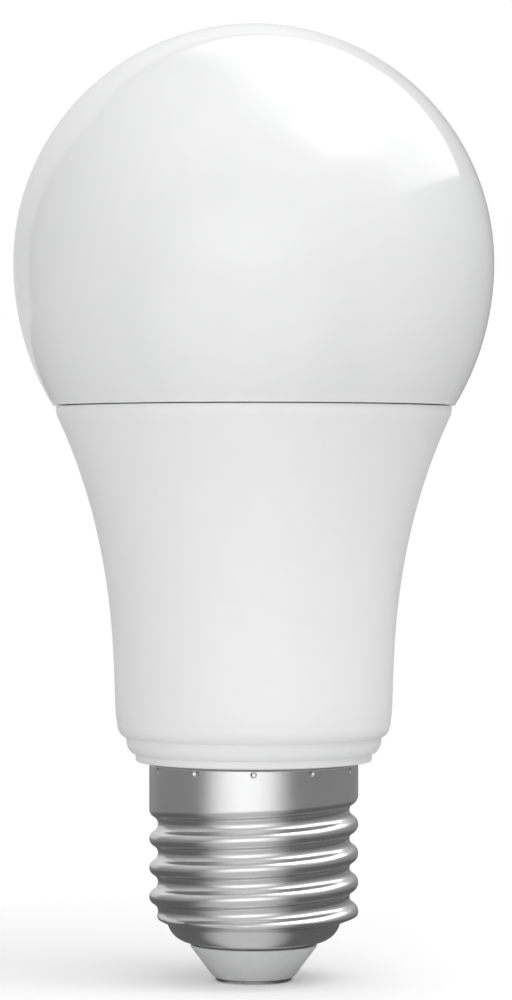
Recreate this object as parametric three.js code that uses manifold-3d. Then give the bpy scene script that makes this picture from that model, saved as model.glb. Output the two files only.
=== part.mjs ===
// A tunable-white smart light bulb with a 60 mm globe and an Edison E27 screw base.
// Millimetres, +Z up. The origin is the centre of the contact's underside, on the bulb's axis.
import * as THREE from "three";
import { mergeVertices } from "three/addons/utils/BufferGeometryUtils.js";
import Module from "manifold-3d";

const wasm = await Module();
wasm.setup();

// ---------------------------------------------------------------- driving dimensions

const TAU = Math.PI * 2;
const UP = Math.PI / 2;
const REST_GAP = 0.05; // between flat faces that rest on each other
const FIT_GAP = 0.35; // between turned walls that nest

const ROUND_SEGMENTS = 36;
const BASE_SEGMENTS = 24;
const SMALL_SEGMENTS = 12;
const ARC_STEPS = 3;

// Opal globe: half an ellipse above the widest ring, a taller one below it.
const GLOBE_RADIUS = 30;
const GLOBE_CENTRE_Z = 89.55;
const GLOBE_TOP_SEMI = 29.8;
const GLOBE_LOWER_SEMI = 32.4;
const GLOBE_WALL = 1.2;
const GLOBE_BOTTOM_Z = 71.95;
const COLLAR_BOTTOM_Z = 70.2;
const COLLAR_WALL = 1.1;

// Flared white housing, from its top edge down to the neck inside the screw shell.
const HOUSING_TOP_Z = 71.7;
const HOUSING_WALL = 1.1;
const FLARE_TOP = new THREE.Vector2(24.72, 70.9);
const FLARE_UPPER_PULL = new THREE.Vector2(16.05, 52.6);
const FLARE_LOWER_PULL = new THREE.Vector2(17.9, 36.0);
const FLARE_BOTTOM = new THREE.Vector2(17.1, 32.4);
const UPPER_RING_Z = 30.5;
const LOWER_RING = new THREE.Vector2(15.95, 30.3);
const LIP_RADIUS = 14.77;
const LIP_TOP_Z = 28.4;
const LIP_BOTTOM_Z = 27.45;
const NECK_COLLAR_RADIUS = 12.35;
const NECK_RADIUS = 11.2;
const NECK_BORE_RADIUS = 9.9;
const NECK_BOTTOM_Z = 10;
const NECK_STEP_Z = [22.2, 24.75];
const HOUSING_FLOOR_Z = 33.3;

// Rolled E27 screw shell.
const THREAD_PITCH = 3.629;
const THREAD_MAJOR_RADIUS = 13.07;
const THREAD_MINOR_RADIUS = 11.98;
const THREAD_CREST_Z = 15.93; // a crest's height at angle 0, on the +X side
const THREAD_ROWS_PER_PITCH = 5;
const THREAD_COLUMNS = 36;
const THREAD_ARC_RADIUS = 1.025; // of the crest and of the root
const THREAD_TOP_Z = 24.4;
const GROOVE_END = [1.0, 1.3]; // turns along the groove over which it runs out at the top
const THREAD_START_Z = [7.0, 8.3];
const SHELL_TOP_Z = 27.15;
const SHELL_SHEET = 0.35;
const BOWL_ARC = new THREE.Vector2(3.1, 2.9);
const BOWL_CENTRE = new THREE.Vector2(7.75, 7.75);
const SHELL_LIP_RADIUS = 7.3;
const DIMPLE_COUNT = 11;
const DIMPLE_TURN = -UP; // one mark faces -Y
const DIMPLE_RADIUS = 0.42;
const DIMPLE_DEPTH = 0.24;
const DIMPLE_Z = 26.65;

// Insulator cone and centre contact.
const CONTACT_RADIUS = 4.8;
const CONTACT_FACE_RADIUS = 4.3;
const CONTACT_THICKNESS = 0.4;
const STEM_RADIUS = 1.4;
const STEM_TOP_Z = 8.6;
const CONE_FOOT_RADIUS = 4.9;
const CONE_BOTTOM = new THREE.Vector2(5.25, 0.75);
const CONE_FLANGE = 1.4; // how far the flange reaches past the shell's lip
const CONE_TOP = new THREE.Vector2(7.9, 4.3);
const SHOULDER_Z = 4.6;
const INSULATOR_TOP_Z = 7.0;

// Heat-sink cup and the LED board on its flange.
const CUP_WALL = 0.8;
const CUP_BOTTOM_Z = 34.2;
const CUP_TOP_Z = 67.4;
const FLANGE_BORE_RADIUS = 16.9;
const LED_BOARD_RADIUS = 21.75;
const LED_BOARD_BOTTOM_Z = CUP_TOP_Z + REST_GAP;
const LED_BOARD_THICKNESS = 1.2;
const LED_BOARD_TOP_Z = LED_BOARD_BOTTOM_Z + LED_BOARD_THICKNESS;
const LED_COUNT = 18;
const LED_RING_RADIUS = 15.6;
const LED_SIZE = { long: 3.5, wide: 2.8, high: 0.75, bevel: 0.15 };
const SCREW_COUNT = 3;
const SCREW_RING_RADIUS = 19.1;
const SCREW_RADIUS = 1.0;
const SCREW_HEAD_RADIUS = 1.95;
const SCREW_HEAD_HEIGHT = 1.4;
const SCREW_LENGTH = 3.2;
const SCREW_HOLE_RADIUS = 1.35;
const SLEEVE_BORE_RADIUS = 13.2;
const SLEEVE_WALL = 0.6;

// Driver board, upright across the bulb, with its through-hole side facing -Y.
const BOARD_FRONT_Y = 1.7;
const BOARD_THICKNESS = 1.6;
const BOARD_BACK_Y = BOARD_FRONT_Y + BOARD_THICKNESS;
const BOARD_BOTTOM_Z = 12;
const BOARD_TOP_Z = 65;
const TONGUE_HALF_WIDTH = 8.8;
const BOARD_HALF_WIDTH = 12.4;
const TONGUE_TOP_Z = 33;
const BOARD_SHOULDER_Z = 37;
const LEAD_RADIUS = 0.35;

// Radio board, behind the driver board, up through a slot in the LED board.
const RADIO_FRONT_Y = 7.5;
const RADIO_THICKNESS = 1;
const RADIO_BACK_Y = RADIO_FRONT_Y + RADIO_THICKNESS;
const RADIO_HALF_WIDTH = 6.5;
const RADIO_BOTTOM_Z = 48.5;
const RADIO_TOP_Z = 77.5;

const PIN_WIDTH = 0.64;
const PIN_PITCH = 2.54;
const PIN_Y = 0.45;
const PIN_HOLE_RADIUS = 0.7;

// ---------------------------------------------------------------- materials

function finish(color, roughness, metalness = 0) {
  return new THREE.MeshStandardMaterial({ color, roughness, metalness });
}

const finishes = {
  opal: finish(0xf1f2f4, 0.18),
  housing: finish(0xf3f3f4, 0.42),
  nickel: finish(0xb4b4b6, 0.3, 1),
  contactMetal: finish(0x8d8a86, 0.38, 1),
  insulator: finish(0xb1b2b4, 0.45),
  aluminium: finish(0xc9cbcd, 0.4, 1),
  whiteBoard: finish(0xf4f4f0, 0.5),
  greenBoard: finish(0x1f6b43, 0.45),
  blueBoard: finish(0x1d3f77, 0.4),
  warmPhosphor: finish(0xf2c24b, 0.4),
  coolPhosphor: finish(0xf4e27a, 0.4),
  steel: finish(0x9c9ea1, 0.32, 1),
  tin: finish(0xc6c8c8, 0.28, 1),
  silicone: finish(0xe9e9e6, 0.6),
  sleeve: finish(0xdfe3e2, 0.35),
  capacitorSleeve: finish(0x23262c, 0.35),
  ferrite: finish(0x3b3b3e, 0.6),
  bobbin: finish(0x191a1b, 0.5),
  tape: finish(0xe2b820, 0.4),
  copper: finish(0xb5622b, 0.35, 1),
  filmBox: finish(0x2d62a8, 0.35),
  varistor: finish(0x2456a4, 0.4),
  resistor: finish(0x5b8f5f, 0.5),
  chip: finish(0x1b1c1e, 0.55),
  headerPlastic: finish(0x15161a, 0.5),
  wireRed: finish(0xb3261e, 0.45),
  wireWhite: finish(0xe8e8e6, 0.45),
};

// ---------------------------------------------------------------- shared geometry tools

function solidFrom(geometry) {
  const bare = geometry.clone();
  bare.deleteAttribute("normal");
  bare.deleteAttribute("uv");
  const merged = mergeVertices(bare, 1e-4);
  return new wasm.Manifold(
    new wasm.Mesh({
      numProp: 3,
      vertProperties: merged.attributes.position.array,
      triVerts: new Uint32Array(merged.index.array),
    }),
  );
}

function geometryFrom(solid) {
  const mesh = solid.getMesh();
  const geometry = new THREE.BufferGeometry();
  geometry.setAttribute("position", new THREE.BufferAttribute(mesh.vertProperties, 3));
  geometry.setIndex(new THREE.BufferAttribute(mesh.triVerts, 1));
  geometry.computeVertexNormals();
  return geometry;
}

function join(...geometries) {
  return geometryFrom(geometries.map(solidFrom).reduce((whole, piece) => whole.add(piece)));
}

function cut(geometry, ...tools) {
  return geometryFrom(
    tools.map(solidFrom).reduce((whole, tool) => whole.subtract(tool), solidFrom(geometry)),
  );
}

// Revolves a profile of (radius, height) points about Z.
function turned(profile, segments = ROUND_SEGMENTS, arcSteps = ARC_STEPS) {
  return new THREE.LatheGeometry(profile.getPoints(arcSteps), segments).rotateX(UP);
}

function box(x, y, z) {
  return new THREE.BoxGeometry(x[1] - x[0], y[1] - y[0], z[1] - z[0]).translate(
    (x[0] + x[1]) / 2,
    (y[0] + y[1]) / 2,
    (z[0] + z[1]) / 2,
  );
}

// A plate in the XY plane, from a height upwards.
function flatPlate(shape, bottomZ, thickness) {
  const plate = new THREE.ExtrudeGeometry(shape, { depth: thickness, bevelEnabled: false });
  return plate.translate(0, 0, bottomZ);
}

// An upright plate in the XZ plane, from a front face backwards along +Y.
function uprightPlate(shape, frontY, thickness) {
  const plate = new THREE.ExtrudeGeometry(shape, { depth: thickness, bevelEnabled: false });
  return plate.rotateX(UP).translate(0, frontY + thickness, 0);
}

function polygon(corners) {
  return new THREE.Shape(corners.map(([x, y]) => new THREE.Vector2(x, y)));
}

function ringPoint(radius, angle) {
  return [radius * Math.cos(angle), radius * Math.sin(angle)];
}

function roundOutline(x, y, radius, segments) {
  const corners = Array.from({ length: segments }, (unused, i) => {
    const [dx, dy] = ringPoint(radius, (TAU * i) / segments);
    return [x + dx, y + dy];
  });
  return polygon(corners);
}

// A round wire through a list of points.
function wire(points, radius, steps, tension = 0.5) {
  const route = new THREE.CatmullRomCurve3(
    points.map(([x, y, z]) => new THREE.Vector3(x, y, z)),
    false,
    "catmullrom",
    tension,
  );
  const section = new THREE.Shape().absarc(0, 0, radius, 0, TAU);
  return new THREE.ExtrudeGeometry(section, {
    steps,
    extrudePath: route,
    curveSegments: 4,
  });
}

function placed(name, geometry, material) {
  const mesh = new THREE.Mesh(geometry, material);
  mesh.name = name;
  return mesh;
}

function smoothStep(low, high, value) {
  const t = Math.min(Math.max((value - low) / (high - low), 0), 1);
  return t * t * (3 - 2 * t);
}

// ---------------------------------------------------------------- envelope: globe and housing

const flare = new THREE.CubicBezierCurve(
  FLARE_TOP,
  FLARE_UPPER_PULL,
  FLARE_LOWER_PULL,
  FLARE_BOTTOM,
);

// The housing's outer radius at a height on its flare, by bisection along the curve.
function flareRadius(z) {
  let high = 0;
  let low = 1;
  for (let i = 0; i < 40; i += 1) {
    const middle = (high + low) / 2;
    if (flare.getPoint(middle).y > z) high = middle;
    else low = middle;
  }
  return flare.getPoint((high + low) / 2).x;
}

// Points down the flare, a fixed distance inside the housing's outer face.
function flareLine(path, inset, fromZ, toZ, steps) {
  for (let i = 0; i <= steps; i += 1) {
    const z = fromZ + ((toZ - fromZ) * i) / steps;
    path.lineTo(flareRadius(z) - inset, z);
  }
  return path;
}

function diffuserGlobe() {
  const edge = 0.15;
  const rimStep = 0.6; // from the collar's root up to where the inner wall's curve ends
  const innerEndAngle = -0.52;
  const lowerAngle = -Math.asin((GLOBE_CENTRE_Z - GLOBE_BOTTOM_Z - edge) / GLOBE_LOWER_SEMI);
  const innerRadius = GLOBE_RADIUS - GLOBE_WALL;
  const innerTop = GLOBE_TOP_SEMI - GLOBE_WALL;
  const innerLower = GLOBE_LOWER_SEMI - GLOBE_WALL;
  const rimRadius = GLOBE_RADIUS * Math.cos(lowerAngle);
  const collarTop = flareRadius(FLARE_TOP.y) - HOUSING_WALL - FIT_GAP;
  const collarBottom = flareRadius(COLLAR_BOTTOM_Z) - HOUSING_WALL - FIT_GAP;
  const profile = new THREE.Path()
    .moveTo(0, GLOBE_CENTRE_Z + innerTop)
    .absellipse(0, GLOBE_CENTRE_Z, innerRadius, innerTop, Math.PI / 2, 0, true)
    .absellipse(0, GLOBE_CENTRE_Z, innerRadius, innerLower, 0, innerEndAngle, true)
    .lineTo(collarTop - COLLAR_WALL, GLOBE_BOTTOM_Z + rimStep)
    .lineTo(collarBottom - COLLAR_WALL, COLLAR_BOTTOM_Z)
    .lineTo(collarBottom, COLLAR_BOTTOM_Z)
    .lineTo(collarTop, GLOBE_BOTTOM_Z)
    .lineTo(rimRadius - edge, GLOBE_BOTTOM_Z)
    .lineTo(rimRadius, GLOBE_BOTTOM_Z + edge)
    .absellipse(0, GLOBE_CENTRE_Z, GLOBE_RADIUS, GLOBE_LOWER_SEMI, lowerAngle, 0, false)
    .absellipse(0, GLOBE_CENTRE_Z, GLOBE_RADIUS, GLOBE_TOP_SEMI, 0, Math.PI / 2, false);
  return placed("diffuser_globe", turned(profile), finishes.opal);
}

function outerHousing() {
  const lowerRing = { x: LOWER_RING.x - LIP_RADIUS, y: LOWER_RING.y - LIP_TOP_Z };
  const upperRing = { x: FLARE_BOTTOM.x - LOWER_RING.x, y: FLARE_BOTTOM.y - UPPER_RING_Z };
  const floorRadius = flareRadius(HOUSING_FLOOR_Z) - HOUSING_WALL;
  const lipEdge = 0.25;
  const topEdge = 0.15;
  const flareFootZ = FLARE_BOTTOM.y + 3.5;
  const floorSlope = 1.2;
  const profile = new THREE.Path()
    .moveTo(NECK_BORE_RADIUS, NECK_BOTTOM_Z)
    .lineTo(NECK_RADIUS, NECK_BOTTOM_Z)
    .lineTo(NECK_RADIUS, NECK_STEP_Z[0])
    .lineTo(NECK_COLLAR_RADIUS, NECK_STEP_Z[1])
    .lineTo(NECK_COLLAR_RADIUS, LIP_BOTTOM_Z)
    .lineTo(LIP_RADIUS - lipEdge, LIP_BOTTOM_Z)
    .lineTo(LIP_RADIUS, LIP_BOTTOM_Z + lipEdge)
    .absellipse(LIP_RADIUS, LOWER_RING.y, lowerRing.x, lowerRing.y, -Math.PI / 2, 0, false)
    .absellipse(LOWER_RING.x, FLARE_BOTTOM.y, upperRing.x, upperRing.y, -Math.PI / 2, 0, false);
  flareLine(profile, 0, flareFootZ, FLARE_TOP.y, 10);
  profile
    .lineTo(FLARE_TOP.x, HOUSING_TOP_Z - topEdge)
    .lineTo(FLARE_TOP.x - topEdge, HOUSING_TOP_Z)
    .lineTo(FLARE_TOP.x - HOUSING_WALL, HOUSING_TOP_Z);
  flareLine(profile, HOUSING_WALL, FLARE_TOP.y, HOUSING_FLOOR_Z, 6);
  profile
    .lineTo(floorRadius - floorSlope, HOUSING_FLOOR_Z - floorSlope)
    .lineTo(NECK_BORE_RADIUS, LOWER_RING.y - 0.3)
    .lineTo(NECK_BORE_RADIUS, NECK_BOTTOM_Z);
  return placed("outer_housing", turned(profile, ROUND_SEGMENTS, 2), finishes.housing);
}

function siliconeBead() {
  const outer = flareRadius(COLLAR_BOTTOM_Z) - HOUSING_WALL - FIT_GAP;
  const bottom = LED_BOARD_TOP_Z + REST_GAP;
  const halfWidth = 0.45;
  const middle = outer - halfWidth - 0.3;
  const half = (COLLAR_BOTTOM_Z - REST_GAP - bottom) / 2;
  const profile = new THREE.Path();
  profile.absellipse(middle, bottom + half, halfWidth, half, 0, TAU, false);
  return placed("silicone_bead", turned(profile, ROUND_SEGMENTS, 2), finishes.silicone);
}

// ---------------------------------------------------------------- screw base

// How far the rolled thread stands over its root, 0 to 1, at a phase in turns from a crest:
// the crest's arc and the root's arc meet a quarter of a pitch from each.
function threadHeight(phase) {
  const rise = (along) => {
    const drop = THREAD_ARC_RADIUS - Math.sqrt(THREAD_ARC_RADIUS ** 2 - along ** 2);
    return drop / (THREAD_MAJOR_RADIUS - THREAD_MINOR_RADIUS);
  };
  const fromCrest = Math.abs(phase - Math.round(phase)) * THREAD_PITCH;
  if (fromCrest <= THREAD_PITCH / 4) return 1 - rise(fromCrest);
  return rise(THREAD_PITCH / 2 - fromCrest);
}

function bowlRadius(z) {
  const down = Math.max(0, (BOWL_CENTRE.y - z) / BOWL_ARC.y);
  return BOWL_CENTRE.x + BOWL_ARC.x * Math.sqrt(Math.max(0, 1 - down ** 2));
}

// The shell's outer radius. The groove runs out round the top, where the skirt begins, and
// the thread rises out of the bowl below.
function threadRadius(angle, z) {
  const phase = (z - THREAD_CREST_Z) / THREAD_PITCH - angle / TAU;
  const turn = Math.floor(phase) + angle / TAU;
  const crest = threadHeight(phase);
  const height = crest + (1 - crest) * smoothStep(...GROOVE_END, turn);
  const outOfBowl = smoothStep(...THREAD_START_Z, z);
  const body = bowlRadius(z) + (THREAD_MINOR_RADIUS - bowlRadius(z)) * outOfBowl;
  return body + (THREAD_MAJOR_RADIUS - THREAD_MINOR_RADIUS) * height * outOfBowl;
}

// Rings of the sheet's section, from the lip up the outside and back down the inside.
function shellRings() {
  const rings = [];
  const round = (radius, z) => rings.push({ z, radius: () => radius });
  const outside = (z) => rings.push({ z, radius: (angle) => threadRadius(angle, z) });
  const arcSteps = 5;
  const arcAt = (turn, inset) => [
    BOWL_CENTRE.x + (BOWL_ARC.x - inset) * Math.sin(turn),
    BOWL_CENTRE.y - (BOWL_ARC.y - inset) * Math.cos(turn),
  ];
  const lipZ = BOWL_CENTRE.y - BOWL_ARC.y;
  round(SHELL_LIP_RADIUS, lipZ);
  for (let i = 0; i <= arcSteps; i += 1) outside(arcAt((UP * i) / arcSteps, 0)[1]);
  const step = THREAD_PITCH / THREAD_ROWS_PER_PITCH;
  for (let z = BOWL_CENTRE.y + step / 2; z < THREAD_TOP_Z; z += step) outside(z);
  round(THREAD_MAJOR_RADIUS, THREAD_TOP_Z + 0.3);
  round(THREAD_MAJOR_RADIUS, SHELL_TOP_Z);
  round(THREAD_MAJOR_RADIUS - SHELL_SHEET, SHELL_TOP_Z);
  round(THREAD_MAJOR_RADIUS - SHELL_SHEET, THREAD_TOP_Z);
  round(THREAD_MINOR_RADIUS - SHELL_SHEET, NECK_STEP_Z[0] - 0.2);
  round(THREAD_MINOR_RADIUS - SHELL_SHEET, THREAD_START_Z[1] + 0.2);
  for (let i = arcSteps; i >= 0; i -= 1) round(...arcAt((UP * i) / arcSteps, SHELL_SHEET));
  round(SHELL_LIP_RADIUS, lipZ + SHELL_SHEET);
  return rings;
}

// Skins a closed loop of rings into one body.
function skinned(rings, columns) {
  const positions = [];
  const index = [];
  for (const ring of rings) {
    for (let column = 0; column < columns; column += 1) {
      const angle = (TAU * column) / columns;
      positions.push(...ringPoint(ring.radius(angle), angle), ring.z);
    }
  }
  rings.forEach((ring, row) => {
    const next = (row + 1) % rings.length;
    for (let column = 0; column < columns; column += 1) {
      const right = (column + 1) % columns;
      const a = row * columns + column;
      const b = row * columns + right;
      const c = next * columns + right;
      const d = next * columns + column;
      index.push(a, b, c, a, c, d);
    }
  });
  const geometry = new THREE.BufferGeometry();
  geometry.setAttribute("position", new THREE.Float32BufferAttribute(positions, 3));
  geometry.setIndex(index);
  geometry.computeVertexNormals();
  return geometry;
}

// A punch mark: a blunt cone driven in from outside.
function dimpleTool(angle) {
  const outwards = 0.5;
  const depth = DIMPLE_DEPTH + outwards;
  return new THREE.CylinderGeometry(DIMPLE_RADIUS * 0.55, DIMPLE_RADIUS * 1.5, depth, 6)
    .rotateZ(UP)
    .translate(THREAD_MAJOR_RADIUS - DIMPLE_DEPTH + depth / 2, 0, 0)
    .rotateZ(angle)
    .translate(0, 0, DIMPLE_Z);
}

function screwShell() {
  const marks = Array.from({ length: DIMPLE_COUNT }, (unused, i) =>
    dimpleTool(DIMPLE_TURN + (TAU * i) / DIMPLE_COUNT),
  );
  const sheet = skinned(shellRings(), THREAD_COLUMNS);
  return placed("screw_shell", cut(sheet, ...marks), finishes.nickel);
}

function insulatorCone() {
  const bore = STEM_RADIUS + FIT_GAP;
  const neck = SHELL_LIP_RADIUS - FIT_GAP;
  const flangeBottom = BOWL_CENTRE.y - BOWL_ARC.y + SHELL_SHEET + FIT_GAP;
  const chamfer = 0.5;
  const profile = new THREE.Path()
    .moveTo(bore, CONTACT_THICKNESS + REST_GAP)
    .lineTo(CONE_FOOT_RADIUS, CONTACT_THICKNESS + REST_GAP)
    .lineTo(CONE_BOTTOM.x, CONE_BOTTOM.y)
    .lineTo(CONE_TOP.x, CONE_TOP.y)
    .lineTo(CONE_TOP.x, SHOULDER_Z)
    .lineTo(neck, SHOULDER_Z)
    .lineTo(neck, flangeBottom)
    .lineTo(neck + CONE_FLANGE, flangeBottom)
    .lineTo(neck + CONE_FLANGE, INSULATOR_TOP_Z - chamfer)
    .lineTo(neck + CONE_FLANGE - chamfer, INSULATOR_TOP_Z)
    .lineTo(bore, INSULATOR_TOP_Z)
    .lineTo(bore, CONTACT_THICKNESS + REST_GAP);
  return placed("insulator_cone", turned(profile, BASE_SEGMENTS), finishes.insulator);
}

function centreContact() {
  const socket = STEM_RADIUS * 0.68;
  const profile = new THREE.Path()
    .moveTo(0, 0)
    .lineTo(CONTACT_FACE_RADIUS, 0)
    .lineTo(CONTACT_RADIUS, CONTACT_THICKNESS * 0.7)
    .lineTo(CONTACT_RADIUS, CONTACT_THICKNESS)
    .lineTo(STEM_RADIUS, CONTACT_THICKNESS)
    .lineTo(STEM_RADIUS, STEM_TOP_Z)
    .lineTo(socket, STEM_TOP_Z)
    .lineTo(socket, INSULATOR_TOP_Z)
    .lineTo(0, INSULATOR_TOP_Z);
  return placed("centre_contact", turned(profile, BASE_SEGMENTS), finishes.contactMetal);
}

// ---------------------------------------------------------------- heat sink and LED board

function heatSinkCup() {
  const outerInset = HOUSING_WALL + FIT_GAP;
  const innerInset = outerInset + CUP_WALL;
  const flangeUnderside = CUP_TOP_Z - CUP_WALL;
  const profile = new THREE.Path();
  profile.moveTo(flareRadius(CUP_BOTTOM_Z) - innerInset, CUP_BOTTOM_Z);
  flareLine(profile, outerInset, CUP_BOTTOM_Z, CUP_TOP_Z, 6);
  profile.lineTo(FLANGE_BORE_RADIUS, CUP_TOP_Z).lineTo(FLANGE_BORE_RADIUS, flangeUnderside);
  flareLine(profile, innerInset, flangeUnderside, CUP_BOTTOM_Z, 5);
  const holes = screwPlaces().map(([x, y]) =>
    new THREE.CylinderGeometry(SCREW_HOLE_RADIUS, SCREW_HOLE_RADIUS, 4, SMALL_SEGMENTS)
      .rotateX(UP)
      .translate(x, y, CUP_TOP_Z),
  );
  return placed("heat_sink_cup", cut(turned(profile), ...holes), finishes.aluminium);
}

function screwPlaces() {
  return Array.from({ length: SCREW_COUNT }, (unused, i) =>
    ringPoint(SCREW_RING_RADIUS, Math.PI / 2 + (TAU * i) / SCREW_COUNT),
  );
}

function pinPlaces() {
  return [-PIN_PITCH, 0, PIN_PITCH];
}

function ledBoard() {
  const disc = roundOutline(0, 0, LED_BOARD_RADIUS, ROUND_SEGMENTS);
  const slotX = RADIO_HALF_WIDTH + FIT_GAP;
  const slotFront = RADIO_FRONT_Y - FIT_GAP;
  const slotBack = RADIO_BACK_Y + FIT_GAP;
  disc.holes.push(
    polygon([
      [-slotX, slotFront],
      [slotX, slotFront],
      [slotX, slotBack],
      [-slotX, slotBack],
    ]),
  );
  for (const [x, y] of screwPlaces()) {
    disc.holes.push(roundOutline(x, y, SCREW_HOLE_RADIUS, SMALL_SEGMENTS));
  }
  for (const x of pinPlaces()) {
    disc.holes.push(roundOutline(x, PIN_Y, PIN_HOLE_RADIUS, SMALL_SEGMENTS));
  }
  const plate = flatPlate(disc, LED_BOARD_BOTTOM_Z, LED_BOARD_THICKNESS);
  return placed("led_board", plate, finishes.whiteBoard);
}

// A surface-mount LED: a bevelled block with one clipped corner that marks its cathode.
function ledPackage(name, angle, material) {
  const x = LED_SIZE.long / 2 - LED_SIZE.bevel;
  const y = LED_SIZE.wide / 2 - LED_SIZE.bevel;
  const outline = polygon([
    [-x, -y],
    [x, -y],
    [x, y - 0.6],
    [x - 0.6, y],
    [-x, y],
  ]);
  const block = new THREE.ExtrudeGeometry(outline, {
    depth: LED_SIZE.high - 2 * LED_SIZE.bevel,
    bevelSize: LED_SIZE.bevel,
    bevelThickness: LED_SIZE.bevel,
    bevelSegments: 1,
  });
  const mesh = placed(name, block, material);
  const baseZ = LED_BOARD_TOP_Z + LED_SIZE.bevel + REST_GAP;
  mesh.position.set(...ringPoint(LED_RING_RADIUS, angle), baseZ);
  mesh.rotation.z = angle;
  return mesh;
}

function ledPackages() {
  return Array.from({ length: LED_COUNT }, (unused, i) => {
    const angle = (TAU * i) / LED_COUNT;
    const number = Math.floor(i / 2) + 1;
    if (i % 2) return ledPackage(`led_cool_${number}`, angle, finishes.coolPhosphor);
    return ledPackage(`led_warm_${number}`, angle, finishes.warmPhosphor);
  });
}

// A pan-head board screw with a cross recess, hanging down from its head's underside.
function boardScrew(name, [x, y]) {
  const profile = new THREE.Path()
    .moveTo(0, -SCREW_LENGTH)
    .lineTo(SCREW_RADIUS * 0.3, -SCREW_LENGTH)
    .lineTo(SCREW_RADIUS, -SCREW_LENGTH + 1.2)
    .lineTo(SCREW_RADIUS, 0)
    .lineTo(SCREW_HEAD_RADIUS, 0)
    .lineTo(SCREW_HEAD_RADIUS, SCREW_HEAD_HEIGHT * 0.45)
    .lineTo(SCREW_HEAD_RADIUS * 0.7, SCREW_HEAD_HEIGHT)
    .lineTo(0, SCREW_HEAD_HEIGHT);
  const recess = { half: 1.1, width: 0.22, depth: 0.7 };
  const bladeZ = [SCREW_HEAD_HEIGHT - recess.depth, SCREW_HEAD_HEIGHT + 1];
  const across = box([-recess.half, recess.half], [-recess.width, recess.width], bladeZ);
  const along = box([-recess.width, recess.width], [-recess.half, recess.half], bladeZ);
  const screw = cut(turned(profile, SMALL_SEGMENTS), across, along);
  const mesh = placed(name, screw, finishes.steel);
  mesh.position.set(x, y, LED_BOARD_TOP_Z + REST_GAP);
  return mesh;
}

function insulatingSleeve() {
  const outer = SLEEVE_BORE_RADIUS + SLEEVE_WALL;
  const profile = new THREE.Path()
    .moveTo(SLEEVE_BORE_RADIUS, CUP_BOTTOM_Z)
    .lineTo(outer, CUP_BOTTOM_Z)
    .lineTo(outer, BOARD_TOP_Z + 0.6)
    .lineTo(SLEEVE_BORE_RADIUS, BOARD_TOP_Z + 0.6)
    .lineTo(SLEEVE_BORE_RADIUS, CUP_BOTTOM_Z);
  return placed("insulating_sleeve", turned(profile, BASE_SEGMENTS), finishes.sleeve);
}

// ---------------------------------------------------------------- driver electronics

function driverBoard() {
  const half = [
    [TONGUE_HALF_WIDTH, BOARD_BOTTOM_Z],
    [TONGUE_HALF_WIDTH, TONGUE_TOP_Z],
    [BOARD_HALF_WIDTH, BOARD_SHOULDER_Z],
    [BOARD_HALF_WIDTH, BOARD_TOP_Z],
  ];
  const mirrored = half.map(([x, z]) => [-x, z]).reverse();
  const plate = uprightPlate(polygon([...half, ...mirrored]), BOARD_FRONT_Y, BOARD_THICKNESS);
  return placed("driver_board", plate, finishes.greenBoard);
}

const FRONT_FACE_Y = BOARD_FRONT_Y - REST_GAP;
const BACK_FACE_Y = BOARD_BACK_Y + REST_GAP;

// An electrolytic can lying along Z, with its two leads bent over to the board.
function electrolytic(name, { radius, length, x, y, bottomZ }) {
  const groove = 0.35;
  const profile = new THREE.Path()
    .moveTo(0, 0)
    .lineTo(radius - 0.4, 0)
    .lineTo(radius, 0.4)
    .lineTo(radius, 1.3)
    .lineTo(radius - groove, 1.7)
    .lineTo(radius, 2.1)
    .lineTo(radius, length - 0.4)
    .lineTo(radius - 0.4, length)
    .lineTo(radius * 0.7, length)
    .lineTo(radius * 0.65, length - 0.25)
    .lineTo(0, length - 0.25);
  const can = turned(profile, 16).translate(x, y, bottomZ);
  const leads = [-1, 1].map((side) => {
    const leadX = x + side * radius * 0.45;
    const leadZ = bottomZ - 0.9;
    const turnY = y + 0.4;
    return join(
      box(
        [leadX - LEAD_RADIUS, leadX + LEAD_RADIUS],
        [turnY - 2 * LEAD_RADIUS, turnY],
        [leadZ - LEAD_RADIUS, bottomZ + 0.5],
      ),
      box(
        [leadX - LEAD_RADIUS, leadX + LEAD_RADIUS],
        [turnY - 2 * LEAD_RADIUS, FRONT_FACE_Y],
        [leadZ - LEAD_RADIUS, leadZ + LEAD_RADIUS],
      ),
    );
  });
  return placed(name, join(can, ...leads), finishes.capacitorSleeve);
}

const TRANSFORMER = {
  centre: [0, -4, 55],
  half: [6.5, 3, 6.2],
  backPlate: 1.7,
  leg: 1.6,
  centreLeg: 1.4,
};

// One E-shaped ferrite half: a back plate with three legs that meet the other half's.
function transformerCore(name, side) {
  const [halfX, halfY, halfZ] = TRANSFORMER.half;
  const inner = halfX - TRANSFORMER.leg;
  const plateZ = halfZ - TRANSFORMER.backPlate;
  const corners = [
    [-halfX, halfZ],
    [-halfX, REST_GAP],
    [-inner, REST_GAP],
    [-inner, plateZ],
    [-TRANSFORMER.centreLeg, plateZ],
    [-TRANSFORMER.centreLeg, REST_GAP],
    [TRANSFORMER.centreLeg, REST_GAP],
    [TRANSFORMER.centreLeg, plateZ],
    [inner, plateZ],
    [inner, REST_GAP],
    [halfX, REST_GAP],
    [halfX, halfZ],
  ].map(([x, z]) => [x, z * side]);
  const [x, y, z] = TRANSFORMER.centre;
  const core = uprightPlate(polygon(corners), -halfY, halfY * 2).translate(x, y, z);
  return placed(name, core, finishes.ferrite);
}

const BOBBIN = { wall: 0.6, flangeHalf: [4.6, 5.3], flange: 0.7, halfHeight: 4.2, gap: 0.2 };

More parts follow.
